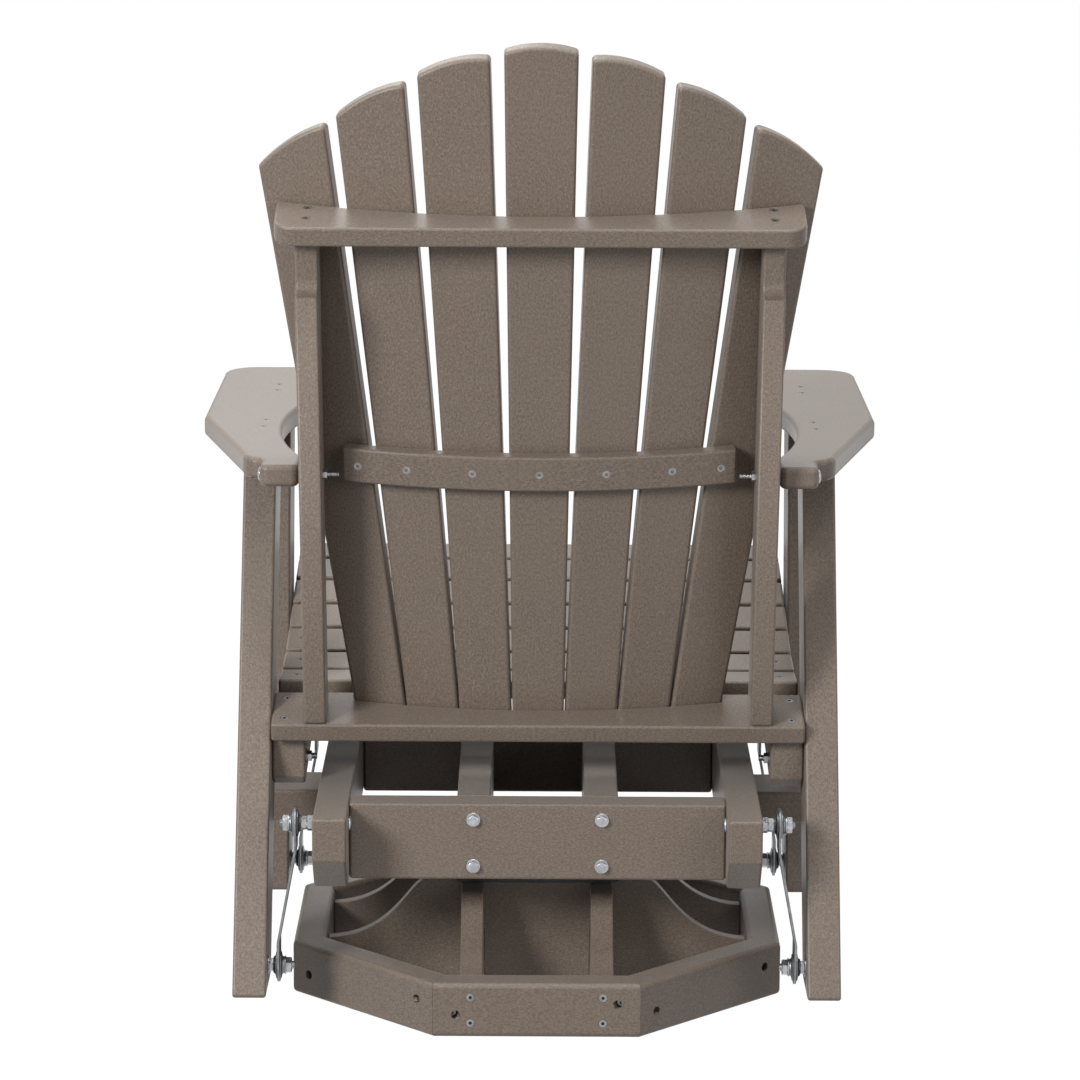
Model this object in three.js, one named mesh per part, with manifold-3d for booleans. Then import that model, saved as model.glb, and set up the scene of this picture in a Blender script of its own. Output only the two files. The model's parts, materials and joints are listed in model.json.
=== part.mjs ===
// Swivel glider armchair in plastic lumber, in millimetres, +Z up.
// An eight-sided ring and four crossed webs stand on the floor and carry a turntable bearing.
// A box frame turns on the bearing. Four flat steel links hang from its side rails, and the
// chair hangs from their lower ends, so the seat glides while it stays level.
// The chair faces -Y, and the sitter's left is +X. The origin is on the floor, under the
// middle of the overall box.

import * as THREE from 'three';
import { mergeVertices } from 'three/addons/utils/BufferGeometryUtils.js';
import Module from 'manifold-3d';

const wasm = await Module();
wasm.setup();

// Lumber sections and fits
const clearance = 0.3;
const overrun = 4;
const stud_thickness = 38.1;
const stud_width = 88.9;
const plank_thickness = 22.2;
const slat_thickness = 20;
const arm_thickness = 25.4;
const post_thickness = 25.4;
const post_depth = 63.5;
const edge_round = 3;
const round_segments = 2;
const corner_segments = 4;
const curve_segments = 16;

// Floor ring: eight mitred boards on edge
const ring_apothem = 283.3;
const ring_height = 63.5;
const ring_round = 4;
const ring_sides = 8;

// Crossed webs inside the ring
const web_lift = 3;
const web_end_height = 55;
const web_top = 127;
const web_plateau_half = 128;
const long_web_thickness = 25.4;
const long_web_offset = 74.8;
const cross_web_thickness = 16;
const cross_web_offset = 71;
const web_crest_run_share = 0.188;
const web_foot_run_share = 0.316;
const web_foot_rise_share = 0.04;

// Turntable bearing
const bearing_height = 37.2;
const bearing_plate_half = 95;
const bearing_plate_corner = 12;
const bearing_plate_thickness = 4;
const bearing_hole_radius = 45;
const race_radius = 80;
const race_wall = 8;
const race_gap = 0.5;

// Box frame that turns on the bearing
const frame_end_reach = 61;
const frame_inner_half = 213.9;
const frame_end_chamfer = 40;
const cross_board_pivot_gap = 10;
const inner_rail_offset = 72.9;
const block_back = -35;
const block_overlap = 33.6;

// Links and their pivots
const pivot_half_span = 223;
const upper_pivot_height = 233.2;
const link_length = 167.3;
const link_rail_gap = 21.6;
const link_joggle = 19.9;
const link_leg_gap = 12.9;
const link_thickness = 3.2;
const link_width = 38;
const link_straight_length = 30;
const link_bore = 5.4;
const cup_radius = 15.5;
const cup_depth = 4.6;
const cup_step = 1.6;
const cup_hub_radius = 9.5;
const bolt_radius = 5;
const bolt_tip = 3;
const nut_across = 16;
const nut_thickness = 6.5;
const washer_radius = 10.5;
const washer_thickness = 1.6;
const head_radius = 8.5;
const head_thickness = 5;
const round_sides = 16;

// Legs
const foot_height = 38;
const rear_foot_reach = 42;
const rear_leg_lean = 25;
const front_foot_reach = 49;
const front_leg_lean = 11;

// Arms
const arm_top = 640;
const arm_width = 131.1;
const arm_front = -500;
const arm_back = 200;
const arm_corner = 43;
const arm_taper_start = -126;
const arm_taper_end = 143;
const arm_taper_width = 68.1;
const arm_tongue_width = 44;
const arm_tongue_start = 152;
const arm_scallop_middle = -71;
const arm_scallop_half = 205;
const arm_scallop_depth = 33;
const arm_small_round = 14;

// Seat
const seat_leg_gap = 3.4;
const seat_slat_width = 63.5;
const seat_gap = 9.5;
const seat_back_reach = 101.4;
const seat_back_rise = 29;
const seat_tilts = [-2, 4, 10.5, 11.5, 12, 9.5, 4];
const seat_apron_height = 63.5;
const seat_rail_back_reach = 24.4;
const seat_rail_drop = 78;
const seat_rail_chamfer = 10;
const seat_rail_front_rise = 74;

// Back, built upright and then tipped back about its lower rear edge
const recline = 14;
const back_foot_back = 149.4;
const back_foot_rise = 95.8;
const back_curve_radius = 1000;
const back_board_middle = 40;
const lower_board_end_depth = 82;
const lower_board_end_gap = 4;
const lower_board_end_slope = 3;
const top_rail_overhang = 22;
const top_rail_corner = 18;
const post_length = 585;
const post_step = 19;
const post_head_length = 60;
const back_slat_count = 7;
const back_slat_drop = 30;
const back_slat_foot_width = 58.8;
const back_slat_foot_pitch = 60.1;
const back_slat_fan = 0.0434;
const back_slat_taper = 0.0131;
const back_end_slat_taper = 0.0197;
const back_arch_peak = 796;
const back_arch_fall = 182;
const back_arch_reach = 224;
const back_slat_crown = 6.5;
const back_slat_inner_drop = 5;
const arch_passes = 12;
const batten_height = 42;
const batten_thickness = 16;
const batten_level = 304;
const batten_end_gap = 24;

// Heights and places that follow from the sizes above
const frame_bottom = web_top + clearance + bearing_height + clearance;
const frame_outer_half = frame_inner_half + stud_thickness;
const frame_half_length = pivot_half_span + frame_end_reach;
const cross_board_outer = pivot_half_span - cross_board_pivot_gap;
const cross_board_inner = cross_board_outer - stud_thickness;
const rear_foot_back = pivot_half_span + rear_foot_reach;
const front_foot_back = front_foot_reach - pivot_half_span;
const lower_pivot_height = upper_pivot_height - link_length;
const link_upper_plane = frame_outer_half + link_rail_gap;
const link_lower_plane = link_upper_plane + link_joggle;
const leg_inner_half = link_lower_plane + link_leg_gap;
const block_reach = leg_inner_half + block_overlap;
const leg_outer_half = leg_inner_half + stud_thickness;
const arm_bottom = arm_top - arm_thickness;
const seat_rail_inner = leg_inner_half - clearance - stud_thickness;
const arm_inner = seat_rail_inner + clearance * 3;
const arm_outer = arm_inner + arm_width;
const arm_taper_outer = arm_inner + arm_taper_width;
const seat_half_length = leg_inner_half - seat_leg_gap;
const top_rail_half = seat_rail_inner + top_rail_overhang;
const back_foot_height = upper_pivot_height + back_foot_rise;
const post_shoulder = post_length - post_head_length;
const seat_back = back_foot_back - seat_back_reach;
const seat_back_height = back_foot_height + seat_back_rise;
const seat_rail_back = back_foot_back - seat_rail_back_reach;
const seat_rail_foot = back_foot_height - seat_rail_drop;
const seat_rail_front_foot = seat_rail_foot + seat_rail_front_rise;
const web_end = ring_apothem - stud_thickness - clearance;

const degrees = THREE.MathUtils.degToRad;
const lumber = new THREE.MeshStandardMaterial({ color: 0x706458, roughness: 0.6, metalness: 0 });
const zinc = new THREE.MeshStandardMaterial({ color: 0xb9bcc0, roughness: 0.35, metalness: 1 });
const steel = new THREE.MeshStandardMaterial({ color: 0x8d9196, roughness: 0.4, metalness: 1 });

const X = new THREE.Vector3(1, 0, 0);
const Y = new THREE.Vector3(0, 1, 0);
const Z = new THREE.Vector3(0, 0, 1);

// Geometry and solid helpers

// A board from its outline in x and y, as thick as thickness along z, with eased edges
function slab(shape, thickness, round = edge_round, segments = corner_segments) {
  const geometry = new THREE.ExtrudeGeometry(shape, {
    depth: thickness - 2 * round,
    bevelEnabled: round > 0,
    bevelThickness: round,
    bevelSize: round,
    bevelOffset: -round,
    bevelSegments: round_segments,
    curveSegments: segments,
  });
  geometry.translate(0, 0, round);
  return geometry;
}

function polygon(points) {
  return new THREE.Shape(points.map(([x, y]) => new THREE.Vector2(x, y)));
}

function rectangle(x0, y0, x1, y1) {
  return polygon([[x0, y0], [x1, y0], [x1, y1], [x0, y1]]);
}

// Adds a long arc to an outline in equal steps, or starts the outline with it
function longArc(shape, x, y, radius, from, to) {
  for (let i = 0; i <= curve_segments; i += 1) {
    const angle = from + (to - from) * i / curve_segments;
    const spot = [x + radius * Math.cos(angle), y + radius * Math.sin(angle)];
    if (i === 0 && shape.curves.length === 0) shape.moveTo(...spot);
    else shape.lineTo(...spot);
  }
}

function toSolid(geometry) {
  const bare = geometry.clone();
  bare.deleteAttribute('normal');
  bare.deleteAttribute('uv');
  const welded = mergeVertices(bare);
  return new wasm.Manifold(new wasm.Mesh({
    numProp: 3,
    vertProperties: Float32Array.from(welded.attributes.position.array),
    triVerts: Uint32Array.from(welded.index.array),
  }));
}

function toGeometry(solid) {
  const { vertProperties, triVerts } = solid.getMesh();
  const geometry = new THREE.BufferGeometry();
  geometry.setAttribute('position', new THREE.BufferAttribute(vertProperties, 3));
  geometry.setIndex(new THREE.BufferAttribute(triVerts, 1));
  geometry.computeVertexNormals();
  return geometry;
}

// A round or six-sided bar along x, from one x to another
function barAlongX(radius, from, to, sides = round_sides) {
  const bar = new THREE.CylinderGeometry(radius, radius, to - from, sides);
  bar.rotateZ(-Math.PI / 2);
  bar.translate((from + to) / 2, 0, 0);
  return bar;
}

function join(geometries) {
  return geometries.map(toSolid).reduce((whole, piece) => whole.add(piece));
}

// A mesh whose outline's x and y run along two given directions
function piece(parent, name, geometry, material, origin, along_x = X, along_y = Y) {
  const mesh = new THREE.Mesh(geometry, material);
  mesh.name = name;
  const along_z = new THREE.Vector3().crossVectors(along_x, along_y);
  mesh.quaternion.setFromRotationMatrix(new THREE.Matrix4().makeBasis(along_x, along_y, along_z));
  mesh.position.copy(origin);
  parent.add(mesh);
  return mesh;
}

const at = (x, y, z) => new THREE.Vector3(x, y, z);

// Left is +X. A board in a side plane has its outline in Y and Z, and its thickness along X.
const sides = [['left', 1], ['right', -1]];

function sideBoard(parent, name, geometry, material, inner, side, thickness) {
  const start = side > 0 ? inner : -inner - thickness;
  return piece(parent, name, geometry, material, at(start, 0, 0), Y, Z);
}

// Floor ring

function ringBoardGeometry() {
  const half_angle = Math.PI / ring_sides;
  const inner = ring_apothem - stud_thickness;
  const corners = new THREE.Shape();
  corners.moveTo(inner + ring_round, 0);
  corners.lineTo(ring_apothem - ring_round, 0);
  corners.quadraticCurveTo(ring_apothem, 0, ring_apothem, ring_round);
  corners.lineTo(ring_apothem, ring_height - ring_round);
  corners.quadraticCurveTo(ring_apothem, ring_height, ring_apothem - ring_round, ring_height);
  corners.lineTo(inner + ring_round, ring_height);
  corners.quadraticCurveTo(inner, ring_height, inner, ring_height - ring_round);
  corners.lineTo(inner, ring_round);
  corners.quadraticCurveTo(inner, 0, inner + ring_round, 0);
  const board = new THREE.ExtrudeGeometry(corners, {
    depth: 1, bevelEnabled: false, curveSegments: round_segments,
  });
  // Each end is slid along the board until it lies on its mitre plane.
  const spot = board.attributes.position;
  for (let i = 0; i < spot.count; i += 1) {
    const half = spot.getX(i) * Math.tan(half_angle) - clearance / 2 / Math.cos(half_angle);
    spot.setZ(i, spot.getZ(i) > 0 ? half : -half);
  }
  return board;
}

function buildRing(parent) {
  const names = ['left', 'rear_left', 'rear', 'rear_right', 'right', 'front_right', 'front', 'front_left'];
  names.forEach((name, i) => {
    const angle = i * 2 * Math.PI / ring_sides;
    const outward = at(Math.cos(angle), Math.sin(angle), 0);
    piece(parent, `ring_board_${name}`, ringBoardGeometry(), lumber, at(0, 0, 0), outward, Z);
  });
}

// A web's outline: level on top in the middle, falling in an S to its low ends, with two
// slots where the other pair of webs crosses it, cut from the top or from the bottom
function webShape(slot_offset, slot_width, slot_from_top) {
  const run = web_end - web_plateau_half;
  const rise = web_top - web_end_height;
  const middle = (web_top + web_lift) / 2;
  const half_slot = slot_width / 2 + clearance;
  const crest = web_plateau_half + web_crest_run_share * run;
  const foot = web_plateau_half + web_foot_run_share * run;
  const foot_level = web_end_height + web_foot_rise_share * rise;
  const shape = new THREE.Shape();
  const slots = (edge, depth, order) => order.forEach((place) => {
    const step = Math.sign(order[1] - order[0]) * half_slot;
    shape.lineTo(place - step, edge);
    shape.lineTo(place - step, depth);
    shape.lineTo(place + step, depth);
    shape.lineTo(place + step, edge);
  });
  shape.moveTo(-web_end, web_lift);
  if (!slot_from_top) slots(web_lift, middle + clearance / 2, [-slot_offset, slot_offset]);
  shape.lineTo(web_end, web_lift);
  shape.lineTo(web_end, web_end_height);
  shape.bezierCurveTo(foot, foot_level, crest, web_top, web_plateau_half, web_top);
  if (slot_from_top) slots(web_top, middle - clearance / 2, [slot_offset, -slot_offset]);
  shape.lineTo(-web_plateau_half, web_top);
  shape.bezierCurveTo(-crest, web_top, -foot, foot_level, -web_end, web_end_height);
  return shape;
}

function buildWebs(parent) {
  const long_shape = webShape(cross_web_offset, cross_web_thickness, true);
  const cross_shape = webShape(long_web_offset, long_web_thickness, false);
  sides.forEach(([name, side]) => {
    const start = side * long_web_offset - long_web_thickness / 2;
    const board = slab(long_shape, long_web_thickness, 0, curve_segments / 2);
    piece(parent, `base_web_${name}`, board, lumber, at(start, 0, 0), Y, Z);
  });
  [['rear', 1], ['front', -1]].forEach(([name, side]) => {
    const start = side * cross_web_offset + cross_web_thickness / 2;
    const board = slab(cross_shape, cross_web_thickness, 0, curve_segments / 2);
    piece(parent, `base_web_${name}`, board, lumber, at(0, start, 0), X, Z);
  });
}

// Turntable bearing: two square plates whose round races nest inside each other

function bearingPlate(race_outer) {
  const half = bearing_plate_half;
  const corner = bearing_plate_corner;
  const plate = new THREE.Shape();
  [[1, 1], [-1, 1], [-1, -1], [1, -1]].forEach(([sx, sy], i) => {
    plate.absarc(sx * (half - corner), sy * (half - corner), corner, i * Math.PI / 2,
      (i + 1) * Math.PI / 2, false);
  });
  const hole = new THREE.Path();
  longArc(hole, 0, 0, bearing_hole_radius, 2 * Math.PI, 0);
  plate.holes.push(hole);
  const sheet = new THREE.ExtrudeGeometry(plate, {
    depth: bearing_plate_thickness, bevelEnabled: false, curveSegments: corner_segments,
  });
  const race_top = bearing_height - bearing_plate_thickness - 2 * clearance;
  const race_inner = race_outer - race_wall;
  const race_foot = bearing_plate_thickness / 2;
  const race = new THREE.LatheGeometry([
    new THREE.Vector2(race_inner, race_foot),
    new THREE.Vector2(race_outer, race_foot),
    new THREE.Vector2(race_outer, race_top),
    new THREE.Vector2(race_inner, race_top),
    new THREE.Vector2(race_inner, race_foot),
  ], 2 * round_sides);
  race.rotateX(Math.PI / 2);
  return toGeometry(join([sheet, race]));
}

function buildBearing(base, turntable) {
  const lower = bearingPlate(race_radius + race_wall);
  const upper = bearingPlate(race_radius - race_gap);
  piece(base, 'bearing_lower_plate', lower, zinc, at(0, 0, web_top + clearance));
  piece(turntable, 'bearing_upper_plate', upper, zinc, at(0, 0, frame_bottom - clearance),
    X, Y.clone().negate());
}

// Box frame

function frameRailGeometry(side) {
  const top = frame_bottom + stud_width;
  const end = frame_half_length;
  const inset = end - frame_end_chamfer;
  const shape = polygon([
    [-inset, frame_bottom], [inset, frame_bottom], [end, frame_bottom + frame_end_chamfer],
    [end, top], [-end, top], [-end, frame_bottom + frame_end_chamfer],
  ]);
  const rail = slab(shape, stud_thickness);
  const half_block = stud_width / 2;
  const block_width = block_reach - frame_outer_half + 2 * edge_round;
  const block = slab(rectangle(-half_block, 0, half_block, stud_thickness), block_width);
  const block_start = side > 0 ? stud_thickness - 2 * edge_round : 2 * edge_round - block_width;
  block.translate(block_back - half_block, frame_bottom, block_start);
  const holes = [-pivot_half_span, pivot_half_span].map((place) => {
    const drill = new THREE.CylinderGeometry(bolt_radius + clearance, bolt_radius + clearance,
      stud_thickness + 2 * overrun, round_sides);
    drill.rotateX(Math.PI / 2);
    drill.translate(place, upper_pivot_height, stud_thickness / 2);
    return toSolid(drill);
  });
  const whole = join([rail, block]);
  return toGeometry(holes.reduce((rest, hole) => rest.subtract(hole), whole));
}

function buildFrame(parent) {
  sides.forEach(([name, side]) => {
    sideBoard(parent, `frame_side_rail_${name}`, frameRailGeometry(side), lumber,
      frame_inner_half, side, stud_thickness);
    const start = side * inner_rail_offset - stud_thickness / 2;
    const reach = cross_board_inner - clearance;
    const rail = slab(rectangle(-reach, frame_bottom, reach, frame_bottom + stud_width),
      stud_thickness);
    piece(parent, `frame_inner_rail_${name}`, rail, lumber, at(start, 0, 0), Y, Z);
  });
  const half = frame_inner_half - clearance;
  [['rear', cross_board_outer], ['front', -cross_board_inner]].forEach(([name, back]) => {
    const board = slab(rectangle(-half, frame_bottom, half, frame_bottom + stud_width),
      stud_thickness);
    piece(parent, `frame_cross_board_${name}`, board, lumber, at(0, back, 0), X, Z);
  });
}

// Links and pivot bolts. Both are drawn on the left, with x outward, and turned round for the
// right. A link's middle is its upper pivot.

function linkGeometry() {
  const drop = link_lower_plane - link_upper_plane;
  const half = link_thickness / 2;
  const radius = link_width / 2;
  const bend_top = -link_straight_length;
  const bend_foot = link_straight_length - link_length;
  const strip = polygon([
    [-half, radius], [half, radius], [half, bend_top], [drop + half, bend_foot],
    [drop + half, -link_length - radius], [drop - half, -link_length - radius],
    [drop - half, bend_foot], [-half, bend_top],
  ]);
  const bent = new THREE.ExtrudeGeometry(strip, { depth: link_width, bevelEnabled: false });
  bent.rotateX(Math.PI / 2);
  bent.translate(0, radius, 0);
  const face = new THREE.Shape();
  face.absarc(0, 0, radius, 0, Math.PI, false);
  face.absarc(0, -link_length, radius, Math.PI, 2 * Math.PI, false);
  const depth = drop + 2 * overrun + 2 * half;
  const outline = new THREE.ExtrudeGeometry(face, {
    depth, bevelEnabled: false, curveSegments: round_sides / 2,
  });
  outline.rotateX(Math.PI / 2);
  outline.rotateZ(Math.PI / 2);
  outline.translate(-half - overrun, 0, 0);
  let solid = toSolid(bent).intersect(toSolid(outline));
  const ends = [[0, 0], [drop, -link_length]];
  ends.forEach(([plane, level]) => {
    const cup = barAlongX(cup_radius, plane - half - cup_step, plane + half + cup_step);
    const hub = barAlongX(cup_hub_radius, plane - half - cup_depth, plane + half + cup_depth);
    [cup, hub].forEach((disc) => {
      disc.translate(0, 0, level);
      solid = solid.add(toSolid(disc));
    });
  });
  ends.forEach(([plane, level]) => {
    const bore = barAlongX(link_bore, plane - radius, plane + radius);
    bore.translate(0, 0, level);
    solid = solid.subtract(toSolid(bore));
  });
  return toGeometry(solid);
}

// A bolt on the x axis, from its inner tip or head outward. Each collar is a washer, a nut or
// a head: its first and last x, its radius and its number of sides.
function boltGeometry(from, to, collars) {
  const bars = [barAlongX(bolt_radius, from, to)];
  collars.forEach(([start, end, radius, count]) => bars.push(barAlongX(radius, start, end, count)));
  return toGeometry(join(bars));
}

const nut_radius = nut_across / Math.sqrt(3);
const hex = 6;

function upperBoltGeometry() {
  const cup_inner = link_upper_plane - link_thickness / 2 - cup_depth - clearance;
  const cup_outer = link_upper_plane + link_thickness / 2 + cup_depth + clearance;
  const rail_inner = frame_inner_half - clearance;
  const rail_outer = frame_outer_half + clearance;
  const nut_end = rail_outer + washer_thickness + nut_thickness;
  const tip = cup_outer + washer_thickness + nut_thickness;
  return boltGeometry(rail_inner - head_thickness / 2, tip + bolt_tip, [
    [rail_inner - head_thickness, rail_inner, head_radius, round_sides],
    [rail_outer, rail_outer + washer_thickness, washer_radius, round_sides],
    [rail_outer + washer_thickness / 2, nut_end, nut_radius, hex],
    [nut_end - washer_thickness, cup_inner, nut_radius - washer_thickness, hex],
    [cup_outer, cup_outer + washer_thickness, washer_radius, round_sides],
    [cup_outer + washer_thickness / 2, tip, nut_radius, hex],
  ]);
}

function lowerBoltGeometry() {
  const cup_inner = link_lower_plane - link_thickness / 2 - cup_depth - clearance;
  const cup_outer = link_lower_plane + link_thickness / 2 + cup_depth + clearance;
  const leg_inner = leg_inner_half - clearance;
  const leg_outer = leg_outer_half + clearance;
  const tip = cup_inner - washer_thickness - nut_thickness;
  return boltGeometry(tip - bolt_tip, leg_outer + head_thickness / 2, [
    [tip, cup_inner - washer_thickness / 2, nut_radius, hex],
    [cup_inner - washer_thickness, cup_inner, washer_radius, round_sides],
    [cup_outer, leg_inner - washer_thickness / 2, nut_radius - washer_thickness, hex],
    [leg_inner - washer_thickness, leg_inner, washer_radius, round_sides],
    [leg_outer, leg_outer + head_thickness, head_radius, round_sides],
  ]);
}

function buildLinkage(turntable, chair) {
  sides.forEach(([side_name, side]) => {
    [['rear', 1], ['front', -1]].forEach(([end_name, end]) => {
      const name = `${end_name}_${side_name}`;
      const place = end * pivot_half_span;
      const outward = at(side, 0, 0);
      const along = at(0, side, 0);
      piece(turntable, `glide_link_${name}`, linkGeometry(), steel,
        at(side * link_upper_plane, place, upper_pivot_height), outward, along);
      piece(turntable, `upper_pivot_bolt_${name}`, upperBoltGeometry(), zinc,
        at(0, place, upper_pivot_height), outward, along);
      piece(chair, `lower_pivot_bolt_${name}`, lowerBoltGeometry(), zinc,
        at(0, place, lower_pivot_height), outward, along);
    });
  });
}

// Legs: leaning boards cut level at the foot and under the arm

function legGeometry(foot_back, lean, forward_pivot) {
  const slope = Math.tan(degrees(lean));
  const depth = stud_width / Math.cos(degrees(lean));
  const top = arm_bottom - clearance;
  const shift = (top - foot_height) * slope;
  const shape = polygon([
    [foot_back - depth, foot_height], [foot_back, foot_height],
    [foot_back - shift, top], [foot_back - depth - shift, top],
  ]);
  const drill = new THREE.CylinderGeometry(bolt_radius + clearance, bolt_radius + clearance,
    stud_thickness + 2 * overrun, round_sides);
  drill.rotateX(Math.PI / 2);
  drill.translate(forward_pivot, lower_pivot_height, stud_thickness / 2);
  return toGeometry(toSolid(slab(shape, stud_thickness)).subtract(toSolid(drill)));
}

function buildLegs(parent) {
  sides.forEach(([name, side]) => {
    sideBoard(parent, `rear_leg_${name}`, legGeometry(rear_foot_back, rear_leg_lean,
      pivot_half_span), lumber, leg_inner_half, side, stud_thickness);
    sideBoard(parent, `front_leg_${name}`, legGeometry(front_foot_back, front_leg_lean,
      -pivot_half_span), lumber, leg_inner_half, side, stud_thickness);
  });
}

// Arms: a broad paddle with a scalloped inner edge and a narrow tongue beside the post

function armShape(side) {
  const shape = new THREE.Shape();
  const x = (value) => side * value;
  const tongue_outer = arm_inner + arm_tongue_width;
  const scallop_radius = (arm_scallop_half ** 2 + arm_scallop_depth ** 2) / 2 / arm_scallop_depth;
  const scallop_angle = Math.asin(arm_scallop_half / scallop_radius);
  const scallop_centre = arm_inner + arm_scallop_depth - scallop_radius;
  const facing = side > 0 ? 0 : Math.PI;
  shape.moveTo(x(arm_inner), arm_back);
  longArc(shape, x(scallop_centre), arm_scallop_middle, scallop_radius,
    facing + side * scallop_angle, facing - side * scallop_angle);
  shape.lineTo(x(arm_inner), arm_front + arm_small_round);
  shape.quadraticCurveTo(x(arm_inner), arm_front, x(arm_inner + arm_small_round), arm_front);
  shape.lineTo(x(arm_outer - arm_corner), arm_front);
  shape.quadraticCurveTo(x(arm_outer), arm_front, x(arm_outer), arm_front + arm_corner);
  shape.lineTo(x(arm_outer), arm_taper_start - arm_small_round);
  const taper_slope = (arm_outer - arm_taper_outer) / (arm_taper_end - arm_taper_start);
  shape.quadraticCurveTo(x(arm_outer), arm_taper_start,
    x(arm_outer - taper_slope * arm_small_round), arm_taper_start + arm_small_round);
  shape.lineTo(x(arm_taper_outer), arm_taper_end - arm_small_round);
  shape.quadraticCurveTo(x(arm_taper_outer), arm_tongue_start, x(tongue_outer), arm_tongue_start);
  shape.lineTo(x(tongue_outer), arm_back);
  return shape;
}

function buildArms(parent) {
  sides.forEach(([name, side]) => {
    piece(parent, `arm_${name}`, slab(armShape(side), arm_thickness), lumber,
      at(0, 0, arm_bottom));
  });
}

// Seat: a chain of slats from the rear forward, each with its own tilt. A slat's rear top edge
// is given as y and z, and the next one starts a gap further on.

function seatSlatPlaces() {
  let y = seat_back;
  let z = seat_back_height;
  return seat_tilts.map((tilt, i) => {
    const angle = degrees(tilt);
    const place = { y, z, angle };
    const next = degrees(seat_tilts[Math.min(i + 1, seat_tilts.length - 1)]);
    const gap_angle = (angle + next) / 2;
    y -= seat_slat_width * Math.cos(angle) + seat_gap * Math.cos(gap_angle);
    z += seat_slat_width * Math.sin(angle) + seat_gap * Math.sin(gap_angle);
    return place;
  });
}

// The apron hangs under the front slat: its front face, and its top edge clear of the slat
function seatFront() {
  const { y, z, angle } = seatSlatPlaces().at(-1);
  const under = z + seat_slat_width * Math.sin(angle) - plank_thickness * Math.cos(angle);
  return {
    y: y - seat_slat_width * Math.cos(angle) - plank_thickness * Math.sin(angle),
    z: under - plank_thickness * Math.abs(Math.tan(angle)) - clearance,
  };
}

function seatRailShape() {
  const under = plank_thickness + clearance;
  const tilt = degrees(recline);
  // The lower back board lies on the rail's rear end, square to the posts.
  const board_line = (y) => {
    const foot_y = back_foot_back - under * Math.sin(tilt);
    const foot_z = back_foot_height - under * Math.cos(tilt);
    return foot_z + (foot_y - y) * Math.tan(tilt);
  };
  const places = seatSlatPlaces();
  const front = seatFront().y + plank_thickness + clearance;
  const board_front = (places[0].y + back_foot_back - backBoardDepth(seat_half_length)) / 2;
  const points = [
    [front, seat_rail_front_foot],
    [seat_rail_back - seat_rail_chamfer, seat_rail_foot],
    [seat_rail_back, seat_rail_foot + seat_rail_chamfer],
    [seat_rail_back, board_line(seat_rail_back)],
    [board_front, board_line(board_front)],
  ];
  places.forEach(({ y, z, angle }) => {
    const under_y = y - under * Math.sin(angle);
    const under_z = z - under * Math.cos(angle);
    const run = Math.min(seat_slat_width * Math.cos(angle), under_y - front);
    points.push([under_y, under_z]);
    points.push([under_y - run, under_z + run * Math.tan(angle)]);
  });
  return polygon(points);
}

function buildSeat(parent) {
  seatSlatPlaces().forEach(({ y, z, angle }, i) => {
    const forward = at(0, -Math.cos(angle), Math.sin(angle));
    const board = slab(rectangle(0, -seat_half_length, seat_slat_width, seat_half_length),
      plank_thickness);
    const down = at(0, -Math.sin(angle), -Math.cos(angle));
    const across = new THREE.Vector3().crossVectors(down, forward);
    piece(parent, `seat_slat_${i + 1}`, board, lumber, at(0, y, z), forward, across);
  });
  const { y, z } = seatFront();
  const apron = slab(rectangle(-seat_half_length, -seat_apron_height, seat_half_length, 0),
    plank_thickness);
  piece(parent, 'seat_apron', apron, lumber, at(0, y + plank_thickness, z), X, Z);
  sides.forEach(([name, side]) => {
    sideBoard(parent, `seat_rail_${name}`, slab(seatRailShape(), stud_thickness), lumber,
      seat_rail_inner, side, stud_thickness);
  });
}

// Back. In its own group x is across, y is to the rear and z is up along the posts.

// How far a curved board's front edge lies ahead of its rear edge, at a place across the back
function backBoardDepth(x, radius = back_curve_radius) {
  return back_board_middle + radius - Math.sqrt(radius ** 2 - x ** 2);
}

function topRailShape(half, corner) {
  const angle = Math.asin(half / back_curve_radius);
  const centre = -back_board_middle - back_curve_radius;
  const shape = new THREE.Shape();
  shape.moveTo(half, -corner);
  shape.absarc(half - corner, -corner, corner, 0, Math.PI / 2, false);
  shape.absarc(corner - half, -corner, corner, Math.PI / 2, Math.PI, false);
  longArc(shape, 0, centre, back_curve_radius, Math.PI / 2 + angle, Math.PI / 2 - angle);
  return shape;
}

// The lower board keeps its full depth past the slats
function lowerBoardShape(half) {
  const { across } = backSlatPlace((back_slat_count - 1) / 2);
  const reach = across[0] + back_slat_foot_width / 2 + lower_board_end_gap;
  const end = reach + lower_board_end_slope;
  const angle = Math.asin(reach / back_curve_radius);
  const centre = -back_board_middle - back_curve_radius;
  const shape = new THREE.Shape();
  shape.moveTo(half, 0);
  shape.lineTo(-half, 0);
  shape.lineTo(-half, -lower_board_end_depth);
  shape.lineTo(-end, -lower_board_end_depth);
  longArc(shape, 0, centre, back_curve_radius, Math.PI / 2 + angle, Math.PI / 2 - angle);
  shape.lineTo(end, -lower_board_end_depth);
  shape.lineTo(half, -lower_board_end_depth);
  return shape;
}

function postShape() {
  const shape = new THREE.Shape();
  const top = post_length;
  shape.moveTo(-post_depth, clearance);
  shape.lineTo(0, clearance);
  shape.lineTo(0, post_shoulder);
  shape.quadraticCurveTo(-post_step, post_shoulder, -post_step, post_shoulder + post_step);
  shape.lineTo(-post_step, top);
  shape.lineTo(-post_depth, top);
  return shape;
}

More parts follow.
